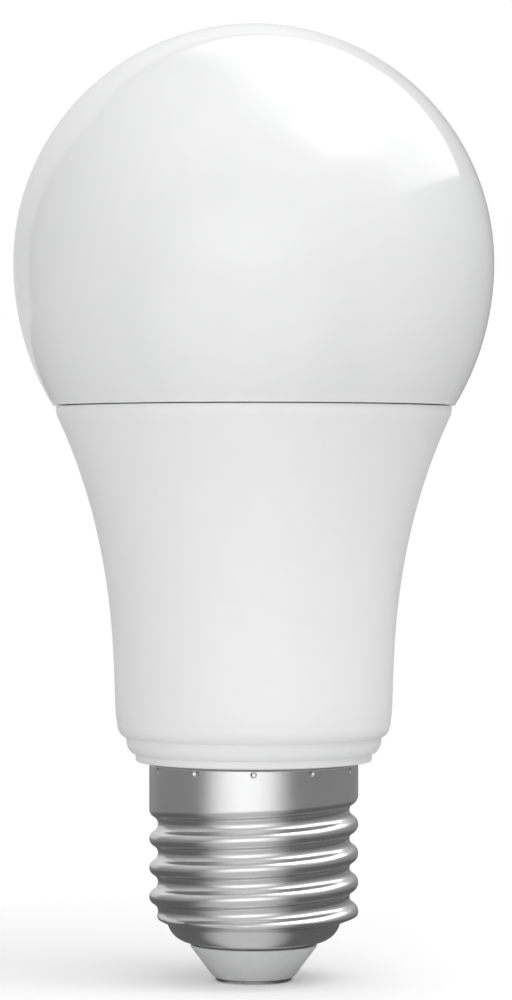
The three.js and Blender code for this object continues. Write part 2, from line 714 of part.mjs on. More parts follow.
function transformerBobbin() {
  const holeX = TRANSFORMER.centreLeg + BOBBIN.gap;
  const holeY = TRANSFORMER.half[1] + BOBBIN.gap;
  const tubeX = holeX + BOBBIN.wall;
  const tubeY = holeY + BOBBIN.wall;
  const [flangeX, flangeY] = BOBBIN.flangeHalf;
  const top = BOBBIN.halfHeight;
  const flanges = [-1, 1].map((side) => {
    const heights = [side * top, side * (top - BOBBIN.flange)].sort((a, b) => a - b);
    return box([-flangeX, flangeX], [-flangeY, flangeY], heights);
  });
  const tube = box([-tubeX, tubeX], [-tubeY, tubeY], [-top, top]);
  const hole = box([-holeX, holeX], [-holeY, holeY], [-top - 1, top + 1]);
  const bobbin = cut(join(tube, ...flanges), hole).translate(...TRANSFORMER.centre);
  return placed("transformer_bobbin", bobbin, finishes.bobbin);
}

// The wound coil under its yellow tape: a rounded loop around the bobbin's tube.
function transformerWinding() {
  const innerX = TRANSFORMER.centreLeg + BOBBIN.wall + 2 * BOBBIN.gap;
  const innerY = TRANSFORMER.half[1] + BOBBIN.wall + 2 * BOBBIN.gap;
  const [outerX, outerY] = [BOBBIN.flangeHalf[0] - 0.15, BOBBIN.flangeHalf[1] - 0.2];
  const clip = 1.1;
  const loop = polygon([
    [-outerX + clip, -outerY],
    [outerX - clip, -outerY],
    [outerX, -outerY + clip],
    [outerX, outerY - clip],
    [outerX - clip, outerY],
    [-outerX + clip, outerY],
    [-outerX, outerY - clip],
    [-outerX, -outerY + clip],
  ]);
  loop.holes.push(
    polygon([
      [-innerX, -innerY],
      [innerX, -innerY],
      [innerX, innerY],
      [-innerX, innerY],
    ]),
  );
  const halfHeight = BOBBIN.halfHeight - BOBBIN.flange - BOBBIN.gap;
  const coil = flatPlate(loop, -halfHeight, 2 * halfHeight).translate(...TRANSFORMER.centre);
  return placed("transformer_winding", coil, finishes.tape);
}

const CHOKE = { radius: 3, waist: 1.3, length: 8, flange: 1.1, x: 4.9, y: -2.3, bottomZ: 17 };

function chokeCore() {
  const { radius, waist, length, flange } = CHOKE;
  const profile = new THREE.Path()
    .moveTo(0, 0)
    .lineTo(radius, 0)
    .lineTo(radius, flange)
    .lineTo(waist, flange)
    .lineTo(waist, length - flange)
    .lineTo(radius, length - flange)
    .lineTo(radius, length)
    .lineTo(0, length);
  const drum = turned(profile, SMALL_SEGMENTS).translate(CHOKE.x, CHOKE.y, CHOKE.bottomZ);
  return placed("choke_core", drum, finishes.ferrite);
}

function chokeWinding() {
  const inner = CHOKE.waist + 0.15;
  const outer = CHOKE.radius - 0.35;
  const bottom = CHOKE.bottomZ + CHOKE.flange + 0.1;
  const top = CHOKE.bottomZ + CHOKE.length - CHOKE.flange - 0.1;
  const layers = 4;
  const step = (top - bottom) / layers;
  const profile = new THREE.Path().moveTo(inner, bottom);
  for (let i = 0; i < layers; i += 1) {
    profile.lineTo(outer - 0.2, bottom + step * i);
    profile.lineTo(outer, bottom + step * (i + 0.5));
  }
  profile.lineTo(outer - 0.2, top).lineTo(inner, top).lineTo(inner, bottom);
  const coil = turned(profile, SMALL_SEGMENTS).translate(CHOKE.x, CHOKE.y, 0);
  return placed("choke_winding", coil, finishes.copper);
}

// A two-legged part whose body stands off the board on short straight leads.
function leaded(name, body, leadPlaces, bodyBackY, material) {
  const leads = leadPlaces.map(([x, z]) =>
    box(
      [x - LEAD_RADIUS, x + LEAD_RADIUS],
      [bodyBackY - 0.3, FRONT_FACE_Y],
      [z - LEAD_RADIUS, z + LEAD_RADIUS],
    ),
  );
  return placed(name, join(body, ...leads), material);
}

function safetyCapacitor() {
  const face = { x: [-10.8, -1.2], y: [-3.6, 0.9], z: [35.8, 43.6] };
  const chamfer = 0.5;
  const outline = polygon([
    [face.x[0] + chamfer, face.z[0]],
    [face.x[1] - chamfer, face.z[0]],
    [face.x[1], face.z[0] + chamfer],
    [face.x[1], face.z[1] - chamfer],
    [face.x[1] - chamfer, face.z[1]],
    [face.x[0] + chamfer, face.z[1]],
    [face.x[0], face.z[1] - chamfer],
    [face.x[0], face.z[0] + chamfer],
  ]);
  const body = uprightPlate(outline, face.y[0], face.y[1] - face.y[0]);
  const middleZ = (face.z[0] + face.z[1]) / 2;
  const legs = [
    [face.x[0] + 2, middleZ],
    [face.x[1] - 1, middleZ],
  ];
  return leaded("safety_capacitor", body, legs, face.y[1], finishes.filmBox);
}

function varistor() {
  const disc = { radius: 3.4, x: 4.5, z: 29.7, frontY: -3.7, backY: -0.9 };
  const edge = 0.6;
  const profile = new THREE.Path()
    .moveTo(0, disc.frontY)
    .lineTo(disc.radius - edge, disc.frontY)
    .lineTo(disc.radius, disc.frontY + edge)
    .lineTo(disc.radius, disc.backY - edge)
    .lineTo(disc.radius - edge, disc.backY)
    .lineTo(0, disc.backY);
  const body = new THREE.LatheGeometry(profile.getPoints(), 18).translate(disc.x, 0, disc.z);
  const legs = [
    [disc.x - 1.8, disc.z],
    [disc.x + 1.8, disc.z],
  ];
  return leaded("varistor", body, legs, disc.backY, finishes.varistor);
}

// A dog-bone resistor body across the board, with both leads bent back to it.
function fusibleResistor() {
  const { y, z, half, radius, swell, leadX } = {
    y: -1.4,
    z: 13.5,
    half: 3,
    radius: 1.05,
    swell: 0.3,
    leadX: 4.4,
  };
  const profile = new THREE.Path()
    .moveTo(0, -half)
    .lineTo(radius, -half + 0.1)
    .lineTo(radius + swell, -half + 0.5)
    .lineTo(radius + swell, -half + 1.2)
    .lineTo(radius, -half + 1.7)
    .lineTo(radius, half - 1.7)
    .lineTo(radius + swell, half - 1.2)
    .lineTo(radius + swell, half - 0.5)
    .lineTo(radius, half - 0.1)
    .lineTo(0, half);
  const body = new THREE.LatheGeometry(profile.getPoints(), SMALL_SEGMENTS)
    .rotateZ(UP)
    .translate(0, y, z);
  const axle = box([-leadX, leadX], [y - LEAD_RADIUS, y + LEAD_RADIUS], [z - 0.3, z + 0.3]);
  const legs = [
    [leadX - LEAD_RADIUS, z],
    [-leadX + LEAD_RADIUS, z],
  ];
  return leaded("fusible_resistor", join(body, axle), legs, y, finishes.resistor);
}

// A gull-wing chip on the back of the driver board.
function backChip(name, { x, z, half, height, legsPerSide }) {
  const bodyY = [BACK_FACE_Y + 0.15, BACK_FACE_Y + 0.15 + height];
  const body = box([x - half[0], x + half[0]], bodyY, [z - half[1], z + half[1]]);
  const pitch = (2 * half[1]) / legsPerSide;
  const legs = [];
  for (const side of [-1, 1]) {
    for (let i = 0; i < legsPerSide; i += 1) {
      const legZ = z - half[1] + pitch * (i + 0.5);
      const legX = [x + side * (half[0] - 0.3), x + side * (half[0] + 1)].sort((a, b) => a - b);
      const footX = [x + side * (half[0] + 0.5), x + side * (half[0] + 1)].sort((a, b) => a - b);
      const width = [legZ - pitch * 0.2, legZ + pitch * 0.2];
      const middleY = BACK_FACE_Y + height * 0.5;
      legs.push(box(legX, [middleY, middleY + 0.25], width));
      legs.push(box(footX, [BACK_FACE_Y, middleY + 0.25], width));
    }
  }
  return placed(name, join(body, ...legs), finishes.chip);
}

// The three square pins that carry current up to the LED board, and the block that holds them.
function ledPin(name, x) {
  const half = PIN_WIDTH / 2;
  const across = [x - half, x + half];
  const upright = box(across, [PIN_Y - half, PIN_Y + half], [62.9, LED_BOARD_TOP_Z + 1.2]);
  const tail = box(across, [PIN_Y - half, FRONT_FACE_Y], [62.9, 62.9 + PIN_WIDTH]);
  return placed(name, join(upright, tail), finishes.tin);
}

function ledPinBlock() {
  const clearance = PIN_WIDTH / 2 + 0.1;
  const height = [63.9, 66.2];
  const block = box([-3.9, 3.9], [-0.9, FRONT_FACE_Y], height);
  const wells = pinPlaces().map((x) =>
    box(
      [x - clearance, x + clearance],
      [PIN_Y - clearance, PIN_Y + clearance],
      [height[0] - 1, height[1] + 1],
    ),
  );
  return placed("led_pin_block", cut(block, ...wells), finishes.headerPlastic);
}

// ---------------------------------------------------------------- radio module

function radioBoard() {
  const notch = 0.8;
  const outline = polygon([
    [-RADIO_HALF_WIDTH, RADIO_BOTTOM_Z],
    [RADIO_HALF_WIDTH, RADIO_BOTTOM_Z],
    [RADIO_HALF_WIDTH, RADIO_TOP_Z - notch],
    [RADIO_HALF_WIDTH - notch, RADIO_TOP_Z],
    [-RADIO_HALF_WIDTH + notch, RADIO_TOP_Z],
    [-RADIO_HALF_WIDTH, RADIO_TOP_Z - notch],
  ]);
  const plate = uprightPlate(outline, RADIO_FRONT_Y, RADIO_THICKNESS);
  return placed("radio_board", plate, finishes.blueBoard);
}

function radioShieldCan() {
  const half = 5.2;
  const bevel = 0.3;
  const depth = 2.2;
  const middleZ = 58.5;
  const outline = polygon([
    [-half + bevel, -half],
    [half - bevel, -half],
    [half, half - bevel],
    [-half, half],
  ]);
  const can = new THREE.ExtrudeGeometry(outline, {
    depth: depth - 2 * bevel,
    bevelSize: bevel,
    bevelThickness: bevel,
    bevelSegments: 1,
  })
    .rotateX(UP)
    .translate(0, RADIO_BACK_Y + REST_GAP + depth - bevel, middleZ);
  return placed("radio_shield_can", can, finishes.tin);
}

// A printed antenna: one folded strip on the part of the radio board above the LEDs.
function radioAntenna() {
  const strip = 0.7;
  const bottom = 71.2;
  const top = 76.4;
  const pitch = 1.9;
  const turns = 6;
  const left = (-pitch * (turns - 1)) / 2;
  const faceY = [RADIO_FRONT_Y - REST_GAP - 0.15, RADIO_FRONT_Y - REST_GAP];
  const bars = [];
  for (let i = 0; i < turns; i += 1) {
    const x = left + pitch * i;
    bars.push(box([x - strip / 2, x + strip / 2], faceY, [bottom, top]));
    if (i < turns - 1) {
      const linkZ = i % 2 ? [bottom, bottom + strip] : [top - strip, top];
      bars.push(box([x, x + pitch], faceY, linkZ));
    }
  }
  return placed("radio_antenna", join(...bars), finishes.copper);
}

function radioPinHeader() {
  const pins = 4;
  const halfX = (pins * PIN_PITCH) / 2;
  const z = 51;
  const block = box([-halfX, halfX], [BACK_FACE_Y + 0.4, RADIO_FRONT_Y - 0.5], [z - 1.2, z + 1.2]);
  const tails = Array.from({ length: pins }, (unused, i) => {
    const x = -halfX + PIN_PITCH * (i + 0.5);
    const half = PIN_WIDTH / 2;
    const reach = [BACK_FACE_Y, RADIO_FRONT_Y - REST_GAP];
    return box([x - half, x + half], reach, [z - half, z + half]);
  });
  return placed("radio_pin_header", join(block, ...tails), finishes.headerPlastic);
}

// ---------------------------------------------------------------- supply wires

const WIRE_RADIUS = 0.55;

function liveWire() {
  const route = [
    [0, 0, INSULATOR_TOP_Z + 0.4],
    [0, 0, STEM_TOP_Z + 0.6],
    [2.2, 0, 10.6],
    [5.6, 0.1, 11.4],
    [6.9, 0.6, 13.2],
    [6.9, BOARD_FRONT_Y - WIRE_RADIUS - 0.1, 15.4],
  ];
  return placed("live_wire", wire(route, WIRE_RADIUS, 14), finishes.wireRed);
}

function neutralWire() {
  const route = [
    [-6.9, BOARD_FRONT_Y - WIRE_RADIUS - 0.1, 15.2],
    [-7.3, 0.5, 12.6],
    [-7.9, 0, 10.2],
    [-8.8, -0.3, 8.7],
    [-10.1, -0.5, 8.5],
  ];
  return placed("neutral_wire", wire(route, WIRE_RADIUS, 10), finishes.wireWhite);
}

// ---------------------------------------------------------------- assembly

const bulb = new THREE.Group();
bulb.name = "smart_light_bulb";

const envelope = new THREE.Group();
envelope.add(diffuserGlobe(), outerHousing(), siliconeBead());

const screwBase = new THREE.Group();
screwBase.add(screwShell(), insulatorCone(), centreContact(), liveWire(), neutralWire());

const lightEngine = new THREE.Group();
lightEngine.add(heatSinkCup(), ledBoard(), ...ledPackages());
screwPlaces().forEach((place, i) => lightEngine.add(boardScrew(`board_screw_${i + 1}`, place)));

const driver = new THREE.Group();
driver.add(
  insulatingSleeve(),
  driverBoard(),
  electrolytic("bulk_capacitor", { radius: 4, length: 13.5, x: -3.8, y: -2.9, bottomZ: 17 }),
  electrolytic("output_capacitor", { radius: 4, length: 11, x: 6.4, y: -3.1, bottomZ: 36.6 }),
  transformerCore("transformer_core_upper", 1),
  transformerCore("transformer_core_lower", -1),
  transformerBobbin(),
  transformerWinding(),
  chokeCore(),
  chokeWinding(),
  safetyCapacitor(),
  varistor(),
  fusibleResistor(),
  backChip("bridge_rectifier", { x: 0, z: 22, half: [2.3, 2.4], height: 2, legsPerSide: 2 }),
  backChip("power_switch_chip", { x: -5, z: 41, half: [1.95, 2.45], height: 1.5, legsPerSide: 4 }),
  backChip("dimmer_chip", { x: 5, z: 41, half: [1.95, 2.45], height: 1.5, legsPerSide: 4 }),
  backChip("output_diode", { x: -7.2, z: 59.5, half: [2.2, 1.8], height: 2.2, legsPerSide: 1 }),
  ledPinBlock(),
);
pinPlaces().forEach((x, i) => driver.add(ledPin(`led_pin_${i + 1}`, x)));

const radio = new THREE.Group();
radio.add(radioBoard(), radioShieldCan(), radioAntenna(), radioPinHeader());

bulb.add(envelope, screwBase, lightEngine, driver, radio);

export default bulb;
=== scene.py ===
"""A tunable-white smart light bulb: an opal globe, a flared white housing and a rolled E27 base,
with the light engine, driver and radio inside them. The bulb's lengths are in millimetres until
a mesh is made, and the studio's are in metres."""

import math

import bmesh
import bpy
from mathutils import Matrix, Vector


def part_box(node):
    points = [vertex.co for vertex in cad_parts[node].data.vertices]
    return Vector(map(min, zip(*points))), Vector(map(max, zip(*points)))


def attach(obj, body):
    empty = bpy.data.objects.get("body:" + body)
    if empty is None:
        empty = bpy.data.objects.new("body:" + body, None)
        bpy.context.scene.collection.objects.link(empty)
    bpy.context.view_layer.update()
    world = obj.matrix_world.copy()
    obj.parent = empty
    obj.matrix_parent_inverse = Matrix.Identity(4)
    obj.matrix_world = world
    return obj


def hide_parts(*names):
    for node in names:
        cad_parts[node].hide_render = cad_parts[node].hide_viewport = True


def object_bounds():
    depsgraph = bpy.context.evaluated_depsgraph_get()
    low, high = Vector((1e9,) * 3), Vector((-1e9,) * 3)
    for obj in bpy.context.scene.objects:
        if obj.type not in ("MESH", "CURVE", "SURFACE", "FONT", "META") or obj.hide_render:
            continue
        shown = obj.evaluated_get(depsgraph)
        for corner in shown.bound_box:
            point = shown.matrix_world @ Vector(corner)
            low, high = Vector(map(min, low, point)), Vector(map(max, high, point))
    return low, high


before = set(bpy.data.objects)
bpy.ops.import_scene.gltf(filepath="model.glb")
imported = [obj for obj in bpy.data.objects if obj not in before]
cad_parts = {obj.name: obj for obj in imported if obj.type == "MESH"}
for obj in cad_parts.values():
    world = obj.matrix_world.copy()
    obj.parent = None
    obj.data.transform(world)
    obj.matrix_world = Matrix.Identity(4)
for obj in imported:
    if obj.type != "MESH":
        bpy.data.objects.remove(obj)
cad_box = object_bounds()

MM = 0.001
TAU = 2 * math.pi
BODY = "root"
ROUND = 240  # sides of the large turned pieces
SMALL = 48  # sides of the small turned pieces


def box_mm(node):
    """A CAD node's lowest and highest corners, in millimetres."""
    low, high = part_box(node)
    return low / MM, high / MM


# ---------------------------------------------------------------- driving dimensions

GLOBE_LOW, GLOBE_HIGH = box_mm("diffuser_globe")
GLOBE_RADIUS = GLOBE_HIGH.x
GLOBE_TOP_SEMI = 29.8
GLOBE_LOWER_SEMI = 32.4
GLOBE_CENTRE_Z = GLOBE_HIGH.z - GLOBE_TOP_SEMI
GLOBE_WALL = 1.2
COLLAR_WALL = 1.1
COLLAR_GAP = 0.35

HOUSING_LOW, HOUSING_HIGH = box_mm("outer_housing")
HOUSING_WALL = 1.1
FLARE = [(24.72, 70.9), (16.05, 52.6), (17.9, 36.0), (17.1, 32.4)]
UPPER_RING = (17.1, 32.4, 30.5)  # radius, top and bottom of the foot's upper ring
LOWER_RING = (15.95, 30.3, 28.4)
LIP_RADIUS = 14.77
LIP_BOTTOM_Z = 27.45
NECK_COLLAR_RADIUS = 12.35
NECK_RADIUS = 11.2
NECK_BORE = 9.9
NECK_STEP_Z = (22.2, 24.75)
HOUSING_FLOOR_Z = 33.3
SEAM = 0.12  # the open line between the globe and the housing

SHELL_LOW, SHELL_HIGH = box_mm("screw_shell")
THREAD_PITCH = 3.629
THREAD_MAJOR = SHELL_HIGH.x
THREAD_DEPTH = 1.09
THREAD_ARC = 1.025  # radius of the crest and of the root, as E27 is rolled
THREAD_CREST_Z = 15.93
THREAD_TOP_Z = 24.4
GROOVE_END = (1.0, 1.3)  # turns along the groove over which it runs out at the top
THREAD_START_Z = (7.0, 8.3)
SHELL_SHEET = 0.35
BOWL_ARC = (3.1, 2.9)
BOWL_CENTRE = (7.75, 7.75)
SHELL_LIP_RADIUS = 7.3
DIMPLES = 11
DIMPLE_TURN = -math.pi / 2  # one punch mark faces -Y
DIMPLE_RADIUS = 0.38
DIMPLE_DEPTH = 0.16
DIMPLE_Z = 26.65

CONE_LOW, CONE_HIGH = box_mm("insulator_cone")
CONE_FOOT_RADIUS = 4.9
CONE_BOTTOM = (5.25, 0.75)
CONE_FLANGE = 1.4
CONE_TOP = (7.9, 4.3)
SHOULDER_Z = 4.6
CONTACT_HIGH = box_mm("centre_contact")[1]
CONTACT_RADIUS = CONTACT_HIGH.x
CONTACT_FACE_RADIUS = 4.3
CONTACT_THICKNESS = 0.4
STEM_RADIUS = 1.4

# ---------------------------------------------------------------- outlines of turned pieces


def polar(radius, angle):
    return radius * math.cos(angle), radius * math.sin(angle)


def arc(centre, radii, start, end, steps):
    """Points of an ellipse's arc about a centre; angles in degrees, 0 outwards and 90 up."""
    points = []
    for i in range(steps + 1):
        x, y = polar(1, math.radians(start + (end - start) * i / steps))
        points.append((centre[0] + radii[0] * x, centre[1] + radii[1] * y))
    return points


def flare_point(t):
    """A point on the housing's flare, a cubic Bezier curve."""
    weights = ((1 - t) ** 3, 3 * t * (1 - t) ** 2, 3 * t * t * (1 - t), t**3)
    return tuple(sum(w * p[axis] for w, p in zip(weights, FLARE)) for axis in range(2))


def flare_radius(z):
    """The housing's outer radius at a height on its flare, by bisection along the curve."""
    high, low = 0.0, 1.0
    for _ in range(40):
        middle = (high + low) / 2
        if flare_point(middle)[1] > z:
            high = middle
        else:
            low = middle
    return flare_point((high + low) / 2)[0]


def flare_line(inset, from_z, to_z, steps):
    """Points along the flare, a fixed distance inside its outer face."""
    heights = [from_z + (to_z - from_z) * i / steps for i in range(steps + 1)]
    return [(flare_radius(z) - inset, z) for z in heights]


def rounded(corners, radius, steps=4):
    """A closed or axis-to-axis outline with its sharp corners rounded; points on the axis stay."""
    count = len(corners)
    points = []
    for i, corner in enumerate(corners):
        here = Vector(corner)
        before = Vector(corners[i - 1]) - here
        after = Vector(corners[(i + 1) % count]) - here
        turn = math.pi - before.angle(after)
        if abs(here.x) < 1e-6 or turn < math.radians(20):
            points.append(corner)
            continue
        reach = min(radius * math.tan(turn / 2), before.length * 0.45, after.length * 0.45)
        start = here + before.normalized() * reach
        end = here + after.normalized() * reach
        for k in range(steps + 1):
            t = k / steps
            point = start * (1 - t) ** 2 + here * (2 * t * (1 - t)) + end * t * t
            points.append((point.x, point.y))
    return points


def smooth_step(low, high, value):
    t = min(max((value - low) / (high - low), 0.0), 1.0)
    return t * t * (3 - 2 * t)


# ---------------------------------------------------------------- meshes


def in_scene(name, data):
    """A new object in the scene."""
    thing = bpy.data.objects.new(name, data)
    bpy.context.scene.collection.objects.link(thing)
    return thing


class Shape:
    """Vertices in millimetres and faces, gathered from several closed bodies of one piece."""

    def __init__(self, vertices=(), faces=(), finish=0, place=None):
        self.vertices = []
        self.faces = []
        self.finishes = []
        self.add(vertices, faces, finish, place)

    def add(self, vertices, faces, finish=0, place=None):
        base = len(self.vertices)
        place = place or Matrix.Identity(4)
        self.vertices += [place @ Vector(v) for v in vertices]
        self.faces += [[base + i for i in face] for face in faces]
        self.finishes += [finish] * len(faces)
        return self

    def moved(self, place):
        copy = Shape(self.vertices, self.faces, place=place)
        copy.finishes = list(self.finishes)
        return copy

    def mesh(self, name, materials, unit=1.0):
        mesh = bpy.data.meshes.new(name)
        mesh.from_pydata([tuple(v * unit) for v in self.vertices], [], self.faces)
        mesh.validate()
        for material in materials:
            mesh.materials.append(material)
        mesh.polygons.foreach_set("material_index", self.finishes)
        whole = bmesh.new()
        whole.from_mesh(mesh)
        bmesh.ops.recalc_face_normals(whole, faces=whole.faces)
        whole.to_mesh(mesh)
        whole.free()
        return mesh

    def combine(self, other, operation):
        """Makes this shape and another one closed shape, keeping each face's finish."""
        blanks = [None] * (max(self.finishes + other.finishes) + 1)
        things = [in_scene("loose", shape.mesh("loose", blanks)) for shape in (self, other)]
        step = things[0].modifiers.new("combine", "BOOLEAN")
        step.operation = operation
        step.solver = "MANIFOLD"
        step.object = things[1]
        bpy.context.view_layer.update()
        result = things[0].evaluated_get(bpy.context.evaluated_depsgraph_get()).data
        self.vertices = [v.co.copy() for v in result.vertices]
        self.faces = [list(face.vertices) for face in result.polygons]
        self.finishes = [face.material_index for face in result.polygons]
        for thing in things:
            bpy.data.meshes.remove(thing.data)
        return self

    def join(self, other):
        return self.combine(other, "UNION")

    def cut(self, other):
        return self.combine(other, "DIFFERENCE")


def turned(profile, sides):
    """A profile of (radius, height) points turned about Z: (vertices, faces), closed."""
    vertices = []
    rows = []
    for radius, z in profile:
        first = len(vertices)
        if radius < 1e-6:
            rows.append([first] * sides)
            vertices.append((0, 0, z))
            continue
        rows.append(list(range(first, first + sides)))
        vertices += [(*polar(radius, TAU * k / sides), z) for k in range(sides)]
    return vertices, skin(rows, closed=profile[0][0] > 1e-6)


def skin(rows, closed):
    """Quads between neighbouring rings of vertex numbers, with triangles where a ring is a point."""
    faces = []
    pairs = list(zip(rows, rows[1:]))
    if closed:
        pairs.append((rows[-1], rows[0]))
    for lower, upper in pairs:
        for k in range(len(lower)):
            n = (k + 1) % len(lower)
            corners = list(dict.fromkeys((lower[k], lower[n], upper[n], upper[k])))
            if len(corners) > 2:
                faces.append(corners)
    return faces


def loft(rings, closed=False):
    """Skins rings of (x, y, z) points that have the same count, and caps both ends, or joins the
    last ring to the first."""
    sides = len(rings[0])
    vertices = [point for ring in rings for point in ring]
    rows = [list(range(i * sides, (i + 1) * sides)) for i in range(len(rings))]
    return vertices, skin(rows, closed) + ([] if closed else [rows[0], rows[-1]])


def piece(name, shape, looks, slot, *nodes, sharp=32):
    """Makes a piece of the bulb from a shape, riding on the bulb and standing for its CAD nodes."""
    mesh = shape.mesh(name, looks, MM)
    mesh.shade_smooth()
    mesh.set_sharp_from_angle(angle=math.radians(sharp))
    thing = in_scene(name, mesh)
    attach(thing, BODY)
    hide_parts(*nodes)


# ---------------------------------------------------------------- materials


class Graph:
    """A node tree that is built up node by node."""

    def __init__(self, tree):
        self.tree = tree

    def give(self, socket, value):
        """Gives a socket another node's output, or a plain value."""
        if isinstance(value, bpy.types.NodeSocket):
            self.tree.links.new(value, socket)
        else:
            socket.default_value = (*value, 1) if socket.type == "RGBA" else value

    def into(self, node, **inputs):
        """Gives inputs to a node that the tree already has."""
        for socket, value in inputs.items():
            self.give(self.tree.nodes[node].inputs[socket.replace("_", " ")], value)

    def node(self, kind, inputs=None, output=0, **settings):
        """An output of a new node that has these inputs and settings."""
        node = self.tree.nodes.new("ShaderNode" + kind)
        for name, value in settings.items():
            setattr(node, name, value)
        for socket, value in (inputs or {}).items():
            self.give(node.inputs[socket], value)
        return node.outputs[output]

    def spread(self, value, low, high, start=0.3, end=0.7, ease="LINEAR"):
        """A value between two levels, as a number from low to high."""
        inputs = {"Value": value, "From Min": start, "From Max": end, "To Min": low, "To Max": high}
        return self.node("MapRange", inputs, interpolation_type=ease)

    def math(self, operation, a, b):
        return self.node("Math", {0: a, 1: b}, operation=operation)

    def blend(self, factor, a, b):
        """A colour from a to b."""
        return self.node("Mix", {"Factor": factor, 6: a, 7: b}, 2, data_type="RGBA")


class Look(Graph):
    """A Principled material over the object's own coordinates."""

    def __init__(self, name, color, roughness, metallic=0.0, **sockets):
        self.material = bpy.data.materials.new(name)
        self.material.use_nodes = True
        self.material.diffuse_color = (*color, 1)
        super().__init__(self.material.node_tree)
        self.surface(Base_Color=color, Roughness=roughness, Metallic=metallic, **sockets)
        self.place = self.node("TexCoord", output="Object")

    def surface(self, **sockets):
        self.into("Principled BSDF", **sockets)

    def noise(self, size, stretch=(1, 1, 1), detail=3.0):
        """Noise whose grains are about this many millimetres across, stretched along the axes."""
        scale = [1 / (size * MM * along) for along in stretch]
        place = self.node("Mapping", {"Vector": self.place, "Scale": scale})
        inputs = {"Vector": place, "Scale": 1, "Detail": detail, "Roughness": 0.55}
        return self.node("TexNoise", inputs, "Fac")

    def mottle(self, noise, a, b):
        """Colours from a to b over a noise."""
        self.surface(Base_Color=self.blend(self.spread(noise, 0, 1), a, b))

    def gloss(self, noise, low, high):
        """Roughness from low to high over a noise."""
        self.surface(Roughness=self.spread(noise, low, high))

    def bump(self, height, depth):
        """Relief whose full height is this many millimetres."""
        inputs = {"Strength": 1, "Distance": depth * MM, "Height": height}
        self.surface(Normal=self.node("Bump", inputs))


def opal_look():
    """Glossy milk-white diffuser, with a trace of flow marks from its moulding."""
    look = Look("opal_diffuser", (0.86, 0.862, 0.87), 0.07, IOR=1.49)
    flow = look.noise(9, stretch=(1, 1, 1.8), detail=2)
    look.mottle(flow, (0.85, 0.853, 0.86), (0.872, 0.872, 0.872))
    look.gloss(look.noise(3.5, detail=4), 0.055, 0.095)
    look.bump(look.noise(14, detail=1), 0.012)
    return look.material


def housing_look():
    """Satin white plastic with a fine spark-eroded grain."""
    look = Look("white_housing", (0.885, 0.887, 0.89), 0.4, IOR=1.5)
    look.mottle(look.noise(6), (0.877, 0.878, 0.881), (0.897, 0.897, 0.895))
    look.gloss(look.noise(1.2, detail=5), 0.36, 0.46)
    look.bump(look.noise(0.16, detail=2), 0.004)
    return look.material


def nickel_look():
    """Rolled nickel plate: fine lines round the shell, and faint handling marks."""
    look = Look("nickel_shell", (0.66, 0.66, 0.665), 0.27, 1.0)
    lines = look.noise(0.09, stretch=(60, 60, 1))
    marks = look.noise(2.6, stretch=(1.6, 1.6, 1), detail=4)
    look.mottle(marks, (0.645, 0.645, 0.65), (0.675, 0.675, 0.675))
    rough = look.math("ADD", look.spread(lines, 0.23, 0.26), look.spread(marks, -0.01, 0.02))
    look.surface(Roughness=rough)
    look.bump(lines, 0.0008)
    return look.material


def insulator_look():
    """Grey moulded insulator, slightly mottled, with a satin skin."""
    look = Look("base_insulator", (0.71, 0.712, 0.717), 0.4, IOR=1.52)
    look.mottle(look.noise(1.4, detail=4), (0.69, 0.693, 0.7), (0.73, 0.732, 0.735))
    look.gloss(look.noise(0.5), 0.34, 0.46)
    look.bump(look.noise(0.25, detail=2), 0.004)
    return look.material


def contact_look():
    """Tinned brass contact, unevenly dulled."""
    look = Look("contact_metal", (0.33, 0.32, 0.3), 0.35, 1.0)
    look.mottle(look.noise(1.1, detail=4), (0.26, 0.25, 0.235), (0.42, 0.41, 0.39))
    look.gloss(look.noise(0.3), 0.24, 0.42)
    look.bump(look.noise(0.12, detail=2), 0.003)
    return look.material


# ---------------------------------------------------------------- the outside


def diffuser_globe():
    """The opal globe: one wall, closed at a collar that plugs into the housing."""
    rim_z = HOUSING_HIGH.z + SEAM
    lower_angle = -math.degrees(math.asin((GLOBE_CENTRE_Z - rim_z - 0.12) / GLOBE_LOWER_SEMI))
    rim_radius = GLOBE_RADIUS * math.cos(math.radians(lower_angle))
    centre = (0, GLOBE_CENTRE_Z)
    inner = (GLOBE_RADIUS - GLOBE_WALL, GLOBE_TOP_SEMI - GLOBE_WALL)
    inner_lower = (GLOBE_RADIUS - GLOBE_WALL, GLOBE_LOWER_SEMI - GLOBE_WALL)
    collar_top = flare_radius(FLARE[0][1]) - HOUSING_WALL - COLLAR_GAP
    collar_bottom = flare_radius(GLOBE_LOW.z) - HOUSING_WALL - COLLAR_GAP
    profile = [(0, GLOBE_CENTRE_Z + inner[1])]
    profile += arc(centre, inner, 89, 1, 30)
    profile += arc(centre, inner_lower, 0, -30, 12)
    profile += [(collar_top - COLLAR_WALL, rim_z + 0.6), (collar_bottom - COLLAR_WALL, GLOBE_LOW.z)]
    profile += [(collar_bottom, GLOBE_LOW.z), (collar_top, rim_z)]
    profile += arc((rim_radius - 0.12, rim_z + 0.12), (0.12, 0.12), -90, -18, 4)
    profile += arc(centre, (GLOBE_RADIUS, GLOBE_LOWER_SEMI), lower_angle, 0, 24)
    profile += arc(centre, (GLOBE_RADIUS, GLOBE_TOP_SEMI), 1.5, 88.5, 58)
    profile.append((0, GLOBE_HIGH.z))
    shape = Shape(*turned(profile, ROUND))
    piece("opal_globe", shape, [opal_look()], "opal_diffuser", "diffuser_globe")


def foot_ring(ring, inner_radius):
    """A quarter-ellipse from a ring's inner bottom edge out to its widest line."""
    radius, top, bottom = ring
    return arc((inner_radius, top), (radius - inner_radius, top - bottom), -90, 0, 12)


